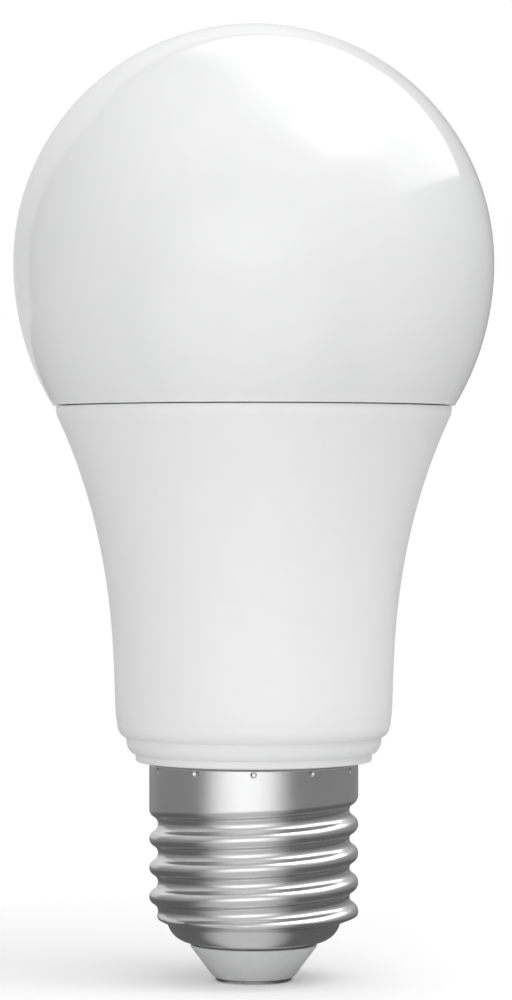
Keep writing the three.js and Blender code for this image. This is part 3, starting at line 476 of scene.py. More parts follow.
def outer_housing():
    """The flared housing with its stepped foot, and the neck that goes down inside the shell."""
    profile = [(NECK_BORE, HOUSING_LOW.z), (NECK_RADIUS, HOUSING_LOW.z)]
    profile += [(NECK_RADIUS, NECK_STEP_Z[0]), (NECK_COLLAR_RADIUS, NECK_STEP_Z[1])]
    profile += [(NECK_COLLAR_RADIUS, LIP_BOTTOM_Z)]
    profile += arc((LIP_RADIUS - 0.3, LIP_BOTTOM_Z + 0.3), (0.3, 0.3), -90, 0, 5)
    profile += foot_ring(LOWER_RING, LIP_RADIUS)
    profile += foot_ring(UPPER_RING, LOWER_RING[0])
    profile += flare_line(0, UPPER_RING[1] + 0.4, FLARE[0][1] - 0.2, 60)
    top_radius = flare_radius(FLARE[0][1] - 0.2) + 0.1
    profile += arc((top_radius - 0.15, HOUSING_HIGH.z - 0.15), (0.15, 0.15), 0, 90, 5)
    profile += [(top_radius - HOUSING_WALL, HOUSING_HIGH.z)]
    profile += flare_line(HOUSING_WALL, FLARE[0][1], HOUSING_FLOOR_Z, 30)
    floor_radius = flare_radius(HOUSING_FLOOR_Z) - HOUSING_WALL
    profile += [(floor_radius - 1.2, HOUSING_FLOOR_Z - 1.2), (NECK_BORE, LOWER_RING[1] - 0.3)]
    shape = Shape(*turned(profile, ROUND))
    piece("flared_housing", shape, [housing_look()], "white_housing", "outer_housing")


def thread_height(phase):
    """How far the rolled thread stands over its root, 0 to 1: two tangent arcs per half turn."""
    along = abs(phase - round(phase)) * THREAD_PITCH
    half = THREAD_PITCH / 4
    if along <= half:
        return 1 - (THREAD_ARC - math.sqrt(THREAD_ARC**2 - along**2)) / THREAD_DEPTH
    along = THREAD_PITCH / 2 - along
    return (THREAD_ARC - math.sqrt(THREAD_ARC**2 - along**2)) / THREAD_DEPTH


def bowl_radius(z):
    down = min(max((BOWL_CENTRE[1] - z) / BOWL_ARC[1], 0.0), 1.0)
    return BOWL_CENTRE[0] + BOWL_ARC[0] * math.sqrt(1 - down**2)


def thread_radius(angle, z):
    """The shell's outer radius. The groove runs out round the top, where the skirt begins, and
    the thread rises out of the bowl below."""
    phase = (z - THREAD_CREST_Z) / THREAD_PITCH - angle / TAU
    turn = math.floor(phase) + angle / TAU
    crest = thread_height(phase)
    height = crest + (1 - crest) * smooth_step(*GROOVE_END, turn)
    out_of_bowl = smooth_step(*THREAD_START_Z, z)
    body = bowl_radius(z) + (THREAD_MAJOR - THREAD_DEPTH - bowl_radius(z)) * out_of_bowl
    return body + THREAD_DEPTH * height * out_of_bowl


def dimple_depth(angle, z):
    """How deep the nearest punch mark is at a place on the skirt, below a slightly raised rim."""
    step = TAU / DIMPLES
    from_first = angle - DIMPLE_TURN
    off_angle = from_first - round(from_first / step) * step
    away = math.hypot(off_angle * THREAD_MAJOR, z - DIMPLE_Z) / DIMPLE_RADIUS
    pit = 1 - smooth_step(0.6, 1.0, away)
    rim = math.exp(-(((away - 1.2) / 0.16) ** 2))
    return DIMPLE_DEPTH * pit - 0.012 * rim


def shell_angles():
    """Angles round the shell, closer together near each punch mark."""
    per_mark = 28
    ease = 0.35
    angles = []
    for mark in range(DIMPLES):
        for k in range(per_mark):
            u = 2 * k / per_mark - 1
            offset = (ease * u + (1 - ease) * u**3) / 2
            angles.append(DIMPLE_TURN + (mark + offset) * TAU / DIMPLES)
    return angles


def shell_heights():
    """Heights up the shell's wall: even over the thread, closer together over the punch marks."""
    thread_step = THREAD_PITCH / 26
    mark_step = DIMPLE_RADIUS / 6
    mark_low, mark_high = DIMPLE_Z - 1.6 * DIMPLE_RADIUS, SHELL_HIGH.z - 0.12
    heights = []
    z = BOWL_CENTRE[1] + thread_step
    while z < THREAD_TOP_Z:
        heights.append(z)
        z += thread_step
    heights += [(THREAD_TOP_Z + mark_low) / 2, mark_low - mark_step]
    z = mark_low
    while z < mark_high:
        heights.append(z)
        z += mark_step
    return heights


def screw_shell():
    """The rolled sheet: lip, bowl, thread and skirt outside, and the same shape inside it."""
    angles = shell_angles()
    heights = shell_heights()
    bowl_steps = 20
    half_sheet = SHELL_SHEET / 2
    inner_bowl = (BOWL_ARC[0] - SHELL_SHEET, BOWL_ARC[1] - SHELL_SHEET)
    lip = arc((SHELL_LIP_RADIUS, SHELL_LOW.z + half_sheet), (0.1, half_sheet), 180, 270, 4)
    rim = arc((THREAD_MAJOR - half_sheet, SHELL_HIGH.z - 0.1), (half_sheet, 0.1), 0, 180, 6)

    def round_rings(points):
        return [[(*polar(radius, angle), z) for angle in angles] for radius, z in points]

    def wall(angle, z, inset):
        return (*polar(thread_radius(angle, z) - dimple_depth(angle, z) - inset, angle), z)

    def walls(levels, inset=0):
        return [[wall(angle, z, inset) for angle in angles] for z in levels]

    rings = round_rings(lip)
    rings += walls([z for radius, z in arc(BOWL_CENTRE, BOWL_ARC, -90, 0, bowl_steps)])
    rings += walls(heights) + round_rings(rim)
    inner_heights = [z for z in reversed(heights[::2]) if z > THREAD_START_Z[1] + 0.2]
    rings += walls(inner_heights, SHELL_SHEET)
    rings += round_rings(arc(BOWL_CENTRE, inner_bowl, 0, -90, bowl_steps))
    shape = Shape(*loft(rings, closed=True))
    piece("threaded_shell", shape, [nickel_look()], "nickel_shell", "screw_shell", sharp=50)


def insulator_cone():
    """The insulator: a cone outside, and a flange that the shell's bowl is rolled over."""
    bore = STEM_RADIUS + COLLAR_GAP
    neck = SHELL_LIP_RADIUS - COLLAR_GAP
    flange_z = SHELL_LOW.z + SHELL_SHEET + COLLAR_GAP
    corners = [(bore, CONE_LOW.z), (CONE_FOOT_RADIUS, CONE_LOW.z), CONE_BOTTOM, CONE_TOP]
    corners += [(CONE_TOP[0], SHOULDER_Z), (neck, SHOULDER_Z), (neck, flange_z)]
    corners += [(neck + CONE_FLANGE, flange_z), (neck + CONE_FLANGE, CONE_HIGH.z - 0.5)]
    corners += [(neck + CONE_FLANGE - 0.5, CONE_HIGH.z), (bore, CONE_HIGH.z)]
    shape = Shape(*turned(rounded(corners, 0.15), ROUND // 2))
    piece("insulator", shape, [insulator_look()], "base_insulator", "insulator_cone")


def centre_contact():
    """The contact: a shallow dished disc, and the stem that holds the live wire."""
    socket = STEM_RADIUS * 0.68
    dish = (CONTACT_RADIUS - CONTACT_FACE_RADIUS, CONTACT_THICKNESS * 0.8)
    profile = [(0, 0), (CONTACT_FACE_RADIUS * 0.5, 0)]
    profile += arc((CONTACT_FACE_RADIUS, dish[1]), dish, -90, 0, 8)
    profile += [(CONTACT_RADIUS, CONTACT_THICKNESS - 0.03), (CONTACT_RADIUS - 0.03, CONTACT_THICKNESS)]
    profile += [(STEM_RADIUS + 0.2, CONTACT_THICKNESS), (STEM_RADIUS, CONTACT_THICKNESS + 0.2)]
    profile += [(STEM_RADIUS, CONTACT_HIGH.z - 0.1), (STEM_RADIUS - 0.1, CONTACT_HIGH.z)]
    profile += [(socket, CONTACT_HIGH.z), (socket, CONE_HIGH.z), (0, CONE_HIGH.z)]
    shape = Shape(*turned(profile, ROUND // 2))
    piece("base_contact", shape, [contact_look()], "contact_metal", "centre_contact")


# ---------------------------------------------------------------- shared tools for the inside

UPRIGHT = Matrix.Rotation(math.pi / 2, 4, "X")  # an outline's x and y to X and Z
SIDEWAYS = Matrix.Rotation(TAU / 3, 4, (1, 1, 1))  # an outline's x and y to Y and Z
FACING_BACK = Matrix.Rotation(-math.pi / 2, 4, "X")  # a turned piece's axis to Y
ALONG_X = Matrix.Rotation(math.pi / 2, 4, "Y")


def at(x, y, z):
    return Matrix.Translation((x, y, z))


def middle_of(node):
    low, high = box_mm(node)
    return (low + high) / 2


def over(node, z=0):
    """A move to a node's middle in plan, at a height of its own."""
    middle = middle_of(node)
    return at(middle.x, middle.y, z)


def plate(outline, low_y, high_y, bevel):
    """An outline in X and Z with a thickness along Y."""
    return Shape(*prism(outline, -high_y, -low_y, bevel), place=UPRIGHT)


def inset(outline, amount):
    """The outline moved inwards by an amount, corner by corner; it runs counter-clockwise."""
    moved = []
    for i, corner in enumerate(outline):
        here = Vector(corner)
        before = (here - Vector(outline[i - 1])).normalized()
        after = (Vector(outline[(i + 1) % len(outline)]) - here).normalized()
        inwards = Vector((-before.y - after.y, before.x + after.x))
        moved.append(tuple(here + inwards * (amount / (1 + before.dot(after)))))
    return moved


def prism(outline, low, high, bevel=0.1):
    """A counter-clockwise outline raised along Z, with a bevel at both ends."""
    inner = inset(outline, bevel)
    levels = [(inner, low), (outline, low + bevel), (outline, high - bevel), (inner, high)]
    return loft([[(x, y, z) for x, y in ring] for ring, z in levels])


def rectangle(x, y, corner=0.0):
    """The outline of a rectangle between two limits each way, with rounded corners."""
    corners = [(x[0], y[0]), (x[1], y[0]), (x[1], y[1]), (x[0], y[1])]
    return rounded(corners, corner, 3) if corner else corners


def soft_loop(half_x, half_y, z, power):
    """A rectangle with full corners as a ring of points: the higher the power, the squarer."""
    sides = 64
    ring = []
    for k in range(sides):
        c, s = polar(1, TAU * (k + 0.5) / sides)
        x = half_x * math.copysign(abs(c) ** (2 / power), c)
        y = half_y * math.copysign(abs(s) ** (2 / power), s)
        ring.append((x, y, z))
    return ring


def curve_through(points, per_span=8):
    """A smooth route through a list of points: a Catmull-Rom curve."""
    knots = [Vector(p) for p in points]
    knots = [2 * knots[0] - knots[1]] + knots + [2 * knots[-1] - knots[-2]]
    route = []
    for a, b, c, d in zip(knots, knots[1:], knots[2:], knots[3:]):
        for k in range(per_span):
            t = k / per_span
            bend = 2 * b + (c - a) * t + (2 * a - 5 * b + 4 * c - d) * t**2
            route.append((bend + (3 * b - a - 3 * c + d) * t**3) / 2)
    return route + [knots[-2]]


def tube(route, radius, sides=12):
    """A round wire along a route, with its ends closed."""
    rings = []
    side = (route[1] - route[0]).orthogonal().normalized()
    turns = [TAU * k / sides for k in range(sides)]
    for i, point in enumerate(route):
        ahead = (route[min(i + 1, len(route) - 1)] - route[max(i - 1, 0)]).normalized()
        side = (side - ahead * side.dot(ahead)).normalized()
        other = ahead.cross(side)
        rings.append([tuple(point + radius * (side * math.cos(t) + other * math.sin(t))) for t in turns])
    return loft(rings)


def helix(radius, low, high, turns, start):
    """Points of a winding about Z."""
    per_turn = 28
    points = []
    for k in range(int(turns * per_turn) + 1):
        z = low + (high - low) * k / (turns * per_turn)
        points.append(Vector((*polar(radius, start + TAU * k / per_turn), z)))
    return points


# Each finish: colour, roughness, metallic, grain in millimetres, relief in millimetres.
FINISHES = {
    "silicone": ((0.82, 0.82, 0.8), 0.5, 0, 1.2, 0.01),
    "sleeve_film": ((0.72, 0.77, 0.77), 0.3, 0, 3.0, 0.006),
    "white_board": ((0.86, 0.86, 0.83), 0.38, 0, 0.9, 0.004),
    "led_package": ((0.88, 0.88, 0.86), 0.4, 0, 0.3, 0.003),
    "warm_phosphor": ((0.85, 0.42, 0.03), 0.3, 0, 0.12, 0.004),
    "cool_phosphor": ((0.86, 0.68, 0.1), 0.3, 0, 0.12, 0.004),
    "tin": ((0.72, 0.72, 0.71), 0.25, 1, 0.5, 0.004),
    "screw_steel": ((0.5, 0.51, 0.53), 0.3, 1, 0.4, 0.003),
    "can_metal": ((0.75, 0.76, 0.77), 0.32, 1, 0.6, 0.003),
    "capacitor_sleeve": ((0.02, 0.022, 0.03), 0.28, 0, 0.8, 0.004),
    "sleeve_stripe": ((0.4, 0.42, 0.44), 0.3, 0, 0.8, 0.004),
    "ferrite": ((0.045, 0.045, 0.048), 0.62, 0, 0.2, 0.02),
    "black_nylon": ((0.012, 0.012, 0.014), 0.5, 0, 0.3, 0.006),
    "copper": ((0.6, 0.2, 0.07), 0.25, 1, 0.4, 0.003),
    "film_box": ((0.03, 0.12, 0.4), 0.4, 0, 0.25, 0.01),
    "varistor_coat": ((0.02, 0.09, 0.32), 0.28, 0, 0.9, 0.03),
    "resistor_coat": ((0.1, 0.27, 0.12), 0.55, 0, 0.25, 0.02),
    "band_brown": ((0.12, 0.04, 0.015), 0.5, 0, 0.3, 0.01),
    "band_gold": ((0.5, 0.33, 0.08), 0.4, 1, 0.3, 0.01),
    "chip_black": ((0.014, 0.014, 0.015), 0.6, 0, 0.15, 0.01),
    "wire_red": ((0.42, 0.012, 0.008), 0.38, 0, 0.7, 0.004),
    "wire_white": ((0.78, 0.78, 0.76), 0.4, 0, 0.7, 0.004),
}
made_finishes = {}


def finish(name):
    """One of the plain finishes: slightly uneven in colour and sheen, with a fine grain."""
    if name not in made_finishes:
        color, roughness, metallic, grain, relief = FINISHES[name]
        look = Look(name, color, roughness, metallic)
        darker = [c * 0.93 for c in color]
        lighter = [min(c * 1.05, 1) for c in color]
        look.mottle(look.noise(grain * 3), darker, lighter)
        look.gloss(look.noise(grain), roughness * 0.85, roughness * 1.15)
        look.bump(look.noise(grain / 2), relief)
        made_finishes[name] = look.material
    return made_finishes[name]


def finishes(*names):
    return [finish(name) for name in names]


def spun_look():
    """Spun aluminium: fine rings left by the tool."""
    look = Look("spun_aluminium", (0.78, 0.79, 0.8), 0.34, 1.0)
    rings = look.noise(0.12, stretch=(80, 80, 1))
    look.mottle(look.noise(4), (0.74, 0.75, 0.76), (0.82, 0.83, 0.84))
    look.gloss(rings, 0.28, 0.42)
    look.bump(rings, 0.006)
    return look.material


def board_look(name, mask, over_copper, width):
    """Solder mask over etched copper: areas this many millimetres wide stand up in a paler shade,
    with gaps between them and a scatter of small tinned vias."""
    look = Look(name, mask, 0.32, Coat_Weight=0.3)
    upright = look.node("Mapping", {"Vector": look.place, "Rotation": (math.pi / 2, 0, 0)})
    areas = {"Vector": upright, "Scale": 1 / MM, "Mortar Size": 0.22}
    areas.update({"Brick Width": width, "Row Height": width * 0.37})
    gap = look.node("TexBrick", areas, "Fac", offset=0.37, squash=0.45, squash_frequency=3)
    vias = look.node("TexVoronoi", {"Vector": look.place, "Scale": 1 / (3.4 * MM)}, "Distance")
    via = look.spread(vias, 1, 0, 0.09, 0.11)
    tin = (0.6, 0.6, 0.58)
    look.surface(Base_Color=look.blend(via, look.blend(gap, over_copper, mask), tin))
    look.gloss(look.noise(0.6), 0.26, 0.38)
    look.bump(look.math("SUBTRACT", via, gap), 0.012)
    return look.material


def tape_look():
    """Polyester tape, with the wound wire's ridges showing through it."""
    look = Look("winding_tape", (0.75, 0.5, 0.02), 0.3, Coat_Weight=0.4)
    look.mottle(look.noise(1.5), (0.68, 0.42, 0.015), (0.8, 0.56, 0.03))
    look.gloss(look.noise(0.8), 0.24, 0.36)
    wave = {"Vector": look.place, "Scale": 0.35 / MM, "Distortion": 0.6}
    look.bump(look.node("TexWave", wave, "Fac", bands_direction="Z"), 0.03)
    return look.material


def dressed(node, look, bevel=0.08):
    """A CAD node that keeps its shape: softer edges and a finished material."""
    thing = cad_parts[node]
    thing.data.materials.clear()
    thing.data.materials.append(finish(look))
    thing.modifiers.new("weld", "WELD").merge_threshold = 0.01 * MM
    edge = thing.modifiers.new("edges", "BEVEL")
    edge.width = bevel * MM
    edge.segments = 2
    edge.limit_method = "ANGLE"


# ---------------------------------------------------------------- light engine

CUP_LOW, CUP_HIGH = box_mm("heat_sink_cup")
CUP_WALL = 0.8
FLANGE_BORE = 16.9
DISC_LOW, DISC_HIGH = box_mm("led_board")
LEDS_OF_EACH = 9
LED_HALF = (1.75, 1.4)
LED_HEIGHT = 0.72
LED_CLIP = 0.62  # the corner that marks its polarity
LED_WELL = 1.15  # radius of the phosphor
BEAD_WIDTH = 0.9
BEAD_RADII = (0.43, 0.71)
SCREWS = [f"board_screw_{i + 1}" for i in range(3)]
SCREW_HOLE = 1.35
SCREW_SHANK = 1.0
SCREW_PITCH = 0.5
LED_PINS = [f"led_pin_{i + 1}" for i in range(3)]
PIN_HOLE = 0.7


def drills(nodes, radius, low, high):
    """Straight tools up through the middle of each of these nodes."""
    tool = Shape()
    for node in nodes:
        outline = [(0, low), (radius, low), (radius, high), (0, high)]
        tool.add(*turned(outline, SMALL), place=over(node))
    return tool


def silicone_bead():
    """A hand-laid bead, never quite even."""
    bead = "silicone_bead"
    centre = (box_mm(bead)[1].x - BEAD_WIDTH / 2, middle_of(bead).z)
    vertices, faces = turned(arc(centre, BEAD_RADII, 0, 345, 23), ROUND)
    uneven = []
    for x, y, z in vertices:
        angle = math.atan2(y, x)
        swell = 1 + 0.0006 * math.sin(17 * angle) + 0.0004 * math.sin(41 * angle + 1)
        uneven.append((x * swell, y * swell, z))
    piece("sealing_bead", Shape(uneven, faces), finishes("silicone"), "silicone", bead)


def heat_sink_cup():
    outside = HOUSING_WALL + COLLAR_GAP
    underside = CUP_HIGH.z - CUP_WALL
    profile = flare_line(outside, CUP_LOW.z, CUP_HIGH.z - 0.2, 40)
    profile += [(flare_radius(CUP_HIGH.z) - outside - 0.2, CUP_HIGH.z)]
    profile += [(FLANGE_BORE + 0.1, CUP_HIGH.z), (FLANGE_BORE, CUP_HIGH.z - 0.1), (FLANGE_BORE, underside)]
    profile += flare_line(outside + CUP_WALL, underside, CUP_LOW.z, 40)
    cup = Shape(*turned(profile, ROUND))
    cup.cut(drills(SCREWS, SCREW_HOLE, underside - 1, CUP_HIGH.z + 1))
    piece("spun_cup", cup, [spun_look()], "aluminium", "heat_sink_cup")


def led_board():
    """The LED board, with its tracks raised under the white mask between the LEDs."""
    mask_top = DISC_HIGH.z - 0.04
    outline = arc((0, 0), (DISC_HIGH.x, DISC_HIGH.x), 0, 360 - 360 / ROUND, ROUND - 1)
    disc = Shape(*prism(outline, DISC_LOW.z, mask_top, 0.08))
    first = middle_of("led_warm_1")
    ring = math.hypot(first.x, first.y)
    step = 360 / (2 * LEDS_OF_EACH)
    tracks = Shape()
    for i in range(2 * LEDS_OF_EACH):
        span = (step * (i + 0.33), step * (i + 0.67))
        track = arc((0, 0), (ring + 0.7, ring + 0.7), *span, 10)
        track += arc((0, 0), (ring - 0.7, ring - 0.7), *reversed(span), 10)
        tracks.add(*prism(track, mask_top - 0.1, DISC_HIGH.z - 0.005, 0.02))
    disc.join(tracks)
    below, above = DISC_LOW.z - 1, DISC_HIGH.z + 1
    radio_low, radio_high = box_mm("radio_board")
    slot = [(radio_low[axis] - COLLAR_GAP, radio_high[axis] + COLLAR_GAP) for axis in range(2)]
    openings = drills(SCREWS, SCREW_HOLE, below, above).add(*prism(rectangle(*slot, 0.4), below, above))
    openings.join(drills(LED_PINS, PIN_HOLE, below, above))
    piece("led_disc", disc.cut(openings), finishes("white_board"), "white_board", "led_board")


def emitter():
    """A surface-mount LED: a white cup with a clipped corner, its phosphor and two terminals."""
    half_x, half_y = LED_HALF
    corners = [(-half_x, half_y), (-half_x, -half_y), (half_x, -half_y)]
    corners += [(half_x, half_y - LED_CLIP), (half_x - LED_CLIP, half_y)]
    body = Shape(*prism(rounded(corners, 0.12, 2), 0.1, LED_HEIGHT, 0.05))
    floor = LED_HEIGHT - 0.3
    well = [(0, floor), (LED_WELL, floor), (LED_WELL + 0.1, LED_HEIGHT + 0.1), (0, LED_HEIGHT + 0.1)]
    body.cut(Shape(*turned(well, SMALL)))
    dome = [(0, floor - 0.05), (LED_WELL + 0.03, floor - 0.05), (LED_WELL + 0.08, LED_HEIGHT - 0.1)]
    dome += [(LED_WELL * 0.6, LED_HEIGHT - 0.07), (0, LED_HEIGHT - 0.06)]
    parts = Shape(*turned(dome, SMALL), 1)
    for ends in ((-half_x + 0.02, -half_x + 0.75), (half_x - 0.75, half_x - 0.02)):
        parts.add(*prism(rectangle(ends, (-half_y + 0.25, half_y - 0.25)), 0, 0.16, 0.02), 2)
    return body.join(parts)


def leds():
    shape = emitter()
    for kind in ("warm", "cool"):
        looks = finishes("led_package", f"{kind}_phosphor", "tin")
        for number in range(1, LEDS_OF_EACH + 1):
            node = f"led_{kind}_{number}"
            middle = middle_of(node)
            turn = Matrix.Rotation(math.atan2(middle.y, middle.x), 4, "Z")
            place = over(node, box_mm(node)[0].z) @ turn
            piece(f"{kind}_emitter_{number}", shape.moved(place), looks, f"{kind}_led", node)


def board_screws():
    """Pan-head screws with a cross recess and a rolled thread."""
    low, high = box_mm(SCREWS[0])
    seat = DISC_HIGH.z + 0.05
    head = (high.x - low.x) / 2
    root, crest = SCREW_SHANK * 0.8, SCREW_SHANK * 0.98
    profile = [(0, low.z), (0.25, low.z), (root, low.z + 0.9)]
    z = low.z + 1
    while z < seat - SCREW_PITCH:
        profile += [(root, z), (crest, z + SCREW_PITCH / 2)]
        z += SCREW_PITCH
    profile += [(root, seat - 0.15), (root, seat), (head - 0.08, seat), (head, seat + 0.1)]
    profile += arc((head - 1, seat + 0.45), (1, high.z - seat - 0.45), 0, 85, 8)
    shape = Shape(*turned(profile + [(0, high.z)], SMALL))
    half = [(0.35, high.z - 0.75), (1.1, high.z + 0.3)]  # of the recess, which narrows downwards
    blade = plate([(-half[0][0], half[0][1]), *half, (-half[1][0], half[1][1])], -0.2, 0.2, 0.02)
    for turn in (0, math.pi / 2):
        shape.cut(blade.moved(Matrix.Rotation(turn, 4, "Z")))
    for number, node in enumerate(SCREWS, 1):
        place = over(node) @ Matrix.Rotation(number, 4, "Z")
        piece(f"pan_screw_{number}", shape.moved(place), finishes("screw_steel"), "screw_steel", node)


def insulating_sleeve():
    low, high = box_mm("insulating_sleeve")
    wall = (high.x - 0.6, high.x)
    shape = Shape(*turned(rectangle(wall, (low.z, high.z), 0.2), ROUND))
    piece("film_sleeve", shape, finishes("sleeve_film"), "sleeve_film", "insulating_sleeve")


# ---------------------------------------------------------------- driver and radio

BOARD_LOW, BOARD_HIGH = box_mm("driver_board")
TONGUE_HALF_WIDTH = 8.8
TONGUE_TOP_Z = 33
BOARD_SHOULDER_Z = 37
BOARD_FRONT = BOARD_LOW.y - 0.05  # where the leads stop
LEAD = 0.33
CAN_STRIPE = -math.pi / 3  # the way a capacitor's pale stripe faces
CORE_LEG = 1.6
CORE_MIDDLE_LEG = 1.4
CORE_PLATE = 1.7
WINDING_BORE = (2.4, 4.0)  # half its width each way
CHOKE_WAIST = 1.3
CHOKE_FLANGE = 1.1
CHOKE_WIRE = 0.27
RESISTOR_Y = -1.4
RESISTOR_BANDS = {1: [(-2.4, -1.9), (-1.3, -0.9), (-0.5, -0.1)], 2: [(1.7, 2.1)]}  # brown, gold
LEG_SHEET = 0.14
WIRE = 0.53


def leads(routes, look):
    """Round leads, each through a few points."""
    shape = Shape()
    for points in routes:
        shape.add(*tube(curve_through(points, 6), LEAD), look)
    return shape


def driver_board():
    half = [(TONGUE_HALF_WIDTH, BOARD_LOW.z), (TONGUE_HALF_WIDTH, TONGUE_TOP_Z)]
    half += [(BOARD_HIGH.x, BOARD_SHOULDER_Z), (BOARD_HIGH.x, BOARD_HIGH.z)]
    outline = rounded(half + [(-x, z) for x, z in reversed(half)], 0.5, 3)
    look = board_look("green_mask", (0.006, 0.07, 0.03), (0.007, 0.083, 0.035), width=9)
    shape = plate(outline, BOARD_LOW.y, BOARD_HIGH.y, 0.08)
    piece("green_board", shape, [look], "green_board", "driver_board")


def electrolytic(name, node, length):
    """An aluminium can in a shrink sleeve with a pale stripe and a scored vent on its end."""
    low, high = box_mm(node)
    radius = (high.x - low.x) / 2
    x, y, bottom = (low.x + high.x) / 2, low.y + radius, high.z - length
    profile = [(0, 0.12), (radius - 0.9, 0.12)] + arc((radius - 0.4, 0.4), (0.4, 0.4), -90, 0, 5)
    profile += [(radius, 1.15)] + arc((radius + 0.1, 1.65), (0.42, 0.42), 250, 110, 6)
    profile += [(radius, 2.15)] + arc((radius - 0.5, length - 0.5), (0.5, 0.5), 0, 90, 6)
    profile += [(radius * 0.78, length), (radius * 0.76, length - 0.12), (radius * 0.74, length - 0.2)]
    can = Shape(*turned(profile + [(0, length - 0.2)], 72))
    for i, face in enumerate(can.faces):
        centre = sum((can.vertices[v] for v in face), Vector()) / len(face)
        if math.hypot(centre.x, centre.y) < radius * 0.77:
            can.finishes[i] = 2 if centre.z > 1 else 0
        elif abs(math.atan2(centre.y, centre.x) - CAN_STRIPE) < 0.3 and 2.2 < centre.z < length - 0.6:
            can.finishes[i] = 1
    for turn in (0, math.pi / 2):
        score = prism(rectangle((-radius / 2, radius / 2), (-0.08, 0.08)), length - 0.28, length, 0.01)
        can.cut(Shape(*score, 2, Matrix.Rotation(turn, 4, "Z")))
    routes = []
    for side in (-radius * 0.45, radius * 0.45):
        route = [(side, 0, 0.4), (side, 0, -0.3), (side, 0.6, -0.9), (side, BOARD_FRONT - y, -0.9)]
        routes.append(route)
    can.join(leads(routes, 3))
    looks = finishes("capacitor_sleeve", "sleeve_stripe", "can_metal", "tin")
    piece(name, can.moved(at(x, y, bottom)), looks, "capacitor_sleeve", node)


def ferrite_core(name, node, side):
    """One E-shaped half of the transformer's core, its legs towards the other half."""
    low, high = box_mm(node)
    joint, back = (low.z, high.z) if side > 0 else (high.z, low.z)
    shelf = back - side * CORE_PLATE
    half = high.x
    outline = [(half, back), (half, joint), (half - CORE_LEG, joint), (half - CORE_LEG, shelf)]
    outline += [(CORE_MIDDLE_LEG, shelf), (CORE_MIDDLE_LEG, joint)]
    outline += [(-x, z) for x, z in reversed(outline)]
    if side > 0:
        outline.reverse()
    shape = plate(outline, low.y, high.y, 0.2)
    piece(name, shape, finishes("ferrite"), "ferrite", node)


def transformer_winding():
    """The winding under its tape, whose last wraps leave a small step at each end."""
    low, high = box_mm("transformer_winding")
    half = (high - low) / 2
    levels = [(*WINDING_BORE, half.z)]
    for less, down in ((0.35, 0), (0.15, 0.25), (0.05, 0.3), (0, 0.6)):
        levels.append((half.x - less, half.y - less, half.z - down))
    levels += [(x, y, -z) for x, y, z in reversed(levels)]
    rings = [soft_loop(x, y, z, 6) for x, y, z in levels]
    shape = Shape(*loft(rings, closed=True), place=at(*middle_of("transformer_winding")))
    piece("taped_winding", shape, [tape_look()], "winding_tape", "transformer_winding")


def choke():
    """A drum core and its enamelled wire, wound in two layers."""
    low, high = box_mm("choke_core")
    radius = (high.x - low.x) / 2
    length = high.z - low.z
    corners = [(0, 0), (radius, 0), (radius, CHOKE_FLANGE), (CHOKE_WAIST, CHOKE_FLANGE)]
    corners += [(r, length - z) for r, z in reversed(corners)]
    place = over("choke_core", low.z)
    core = Shape(*turned(rounded(corners, 0.15, 3), SMALL), place=place)
    piece("drum_core", core, finishes("ferrite"), "ferrite", "choke_core")
    winding = Shape()
    first = CHOKE_FLANGE + CHOKE_WIRE + 0.1
    turns = (length - 2 * first) / (2 * CHOKE_WIRE)
    for layer in range(2):
        middle_line = CHOKE_WAIST + 0.15 + CHOKE_WIRE * (1 + 2 * layer)
        route = helix(middle_line, first, length - first, turns, start=2 * layer)
        winding.add(*tube(route, CHOKE_WIRE, 8), place=place)
    piece("drum_winding", winding, finishes("copper"), "copper", "choke_winding")


def film_capacitor():
    """A moulded box on two stiff leads."""
    low, high = box_mm("safety_capacitor")
    back = 0.9
    middle = middle_of("safety_capacitor").z
    shape = plate(rectangle((low.x, high.x), (low.z, high.z), 0.7), low.y, back, 0.3)
    routes = [[(x, back - 0.2, middle), (x, BOARD_FRONT, middle)] for x in (low.x + 2, high.x - 1)]
    shape.join(leads(routes, 1))
    piece("film_capacitor", shape, finishes("film_box", "tin"), "film_box", "safety_capacitor")


def varistor_disc():
    """A ceramic disc dipped in epoxy."""
    low, high = box_mm("varistor")
    radius = (high.x - low.x) / 2
    back = -0.9
    depth = back - low.y
    profile = [(0, 0), (radius * 0.6, 0.04)]
    profile += arc((radius - 0.8, depth / 2), (0.8, depth / 2 - 0.06), -80, 80, 10)
    profile += [(radius * 0.6, depth - 0.04), (0, depth)]
    middle = middle_of("varistor")
    shape = Shape(*turned(profile, 72), place=at(middle.x, low.y, middle.z) @ FACING_BACK)
    sides = (middle.x - 1.8, middle.x + 1.8)
    shape.join(leads([[(x, back - 0.4, middle.z), (x, BOARD_FRONT, middle.z)] for x in sides], 1))
    piece("varistor_disc", shape, finishes("varistor_coat", "tin"), "varistor_coat", "varistor")


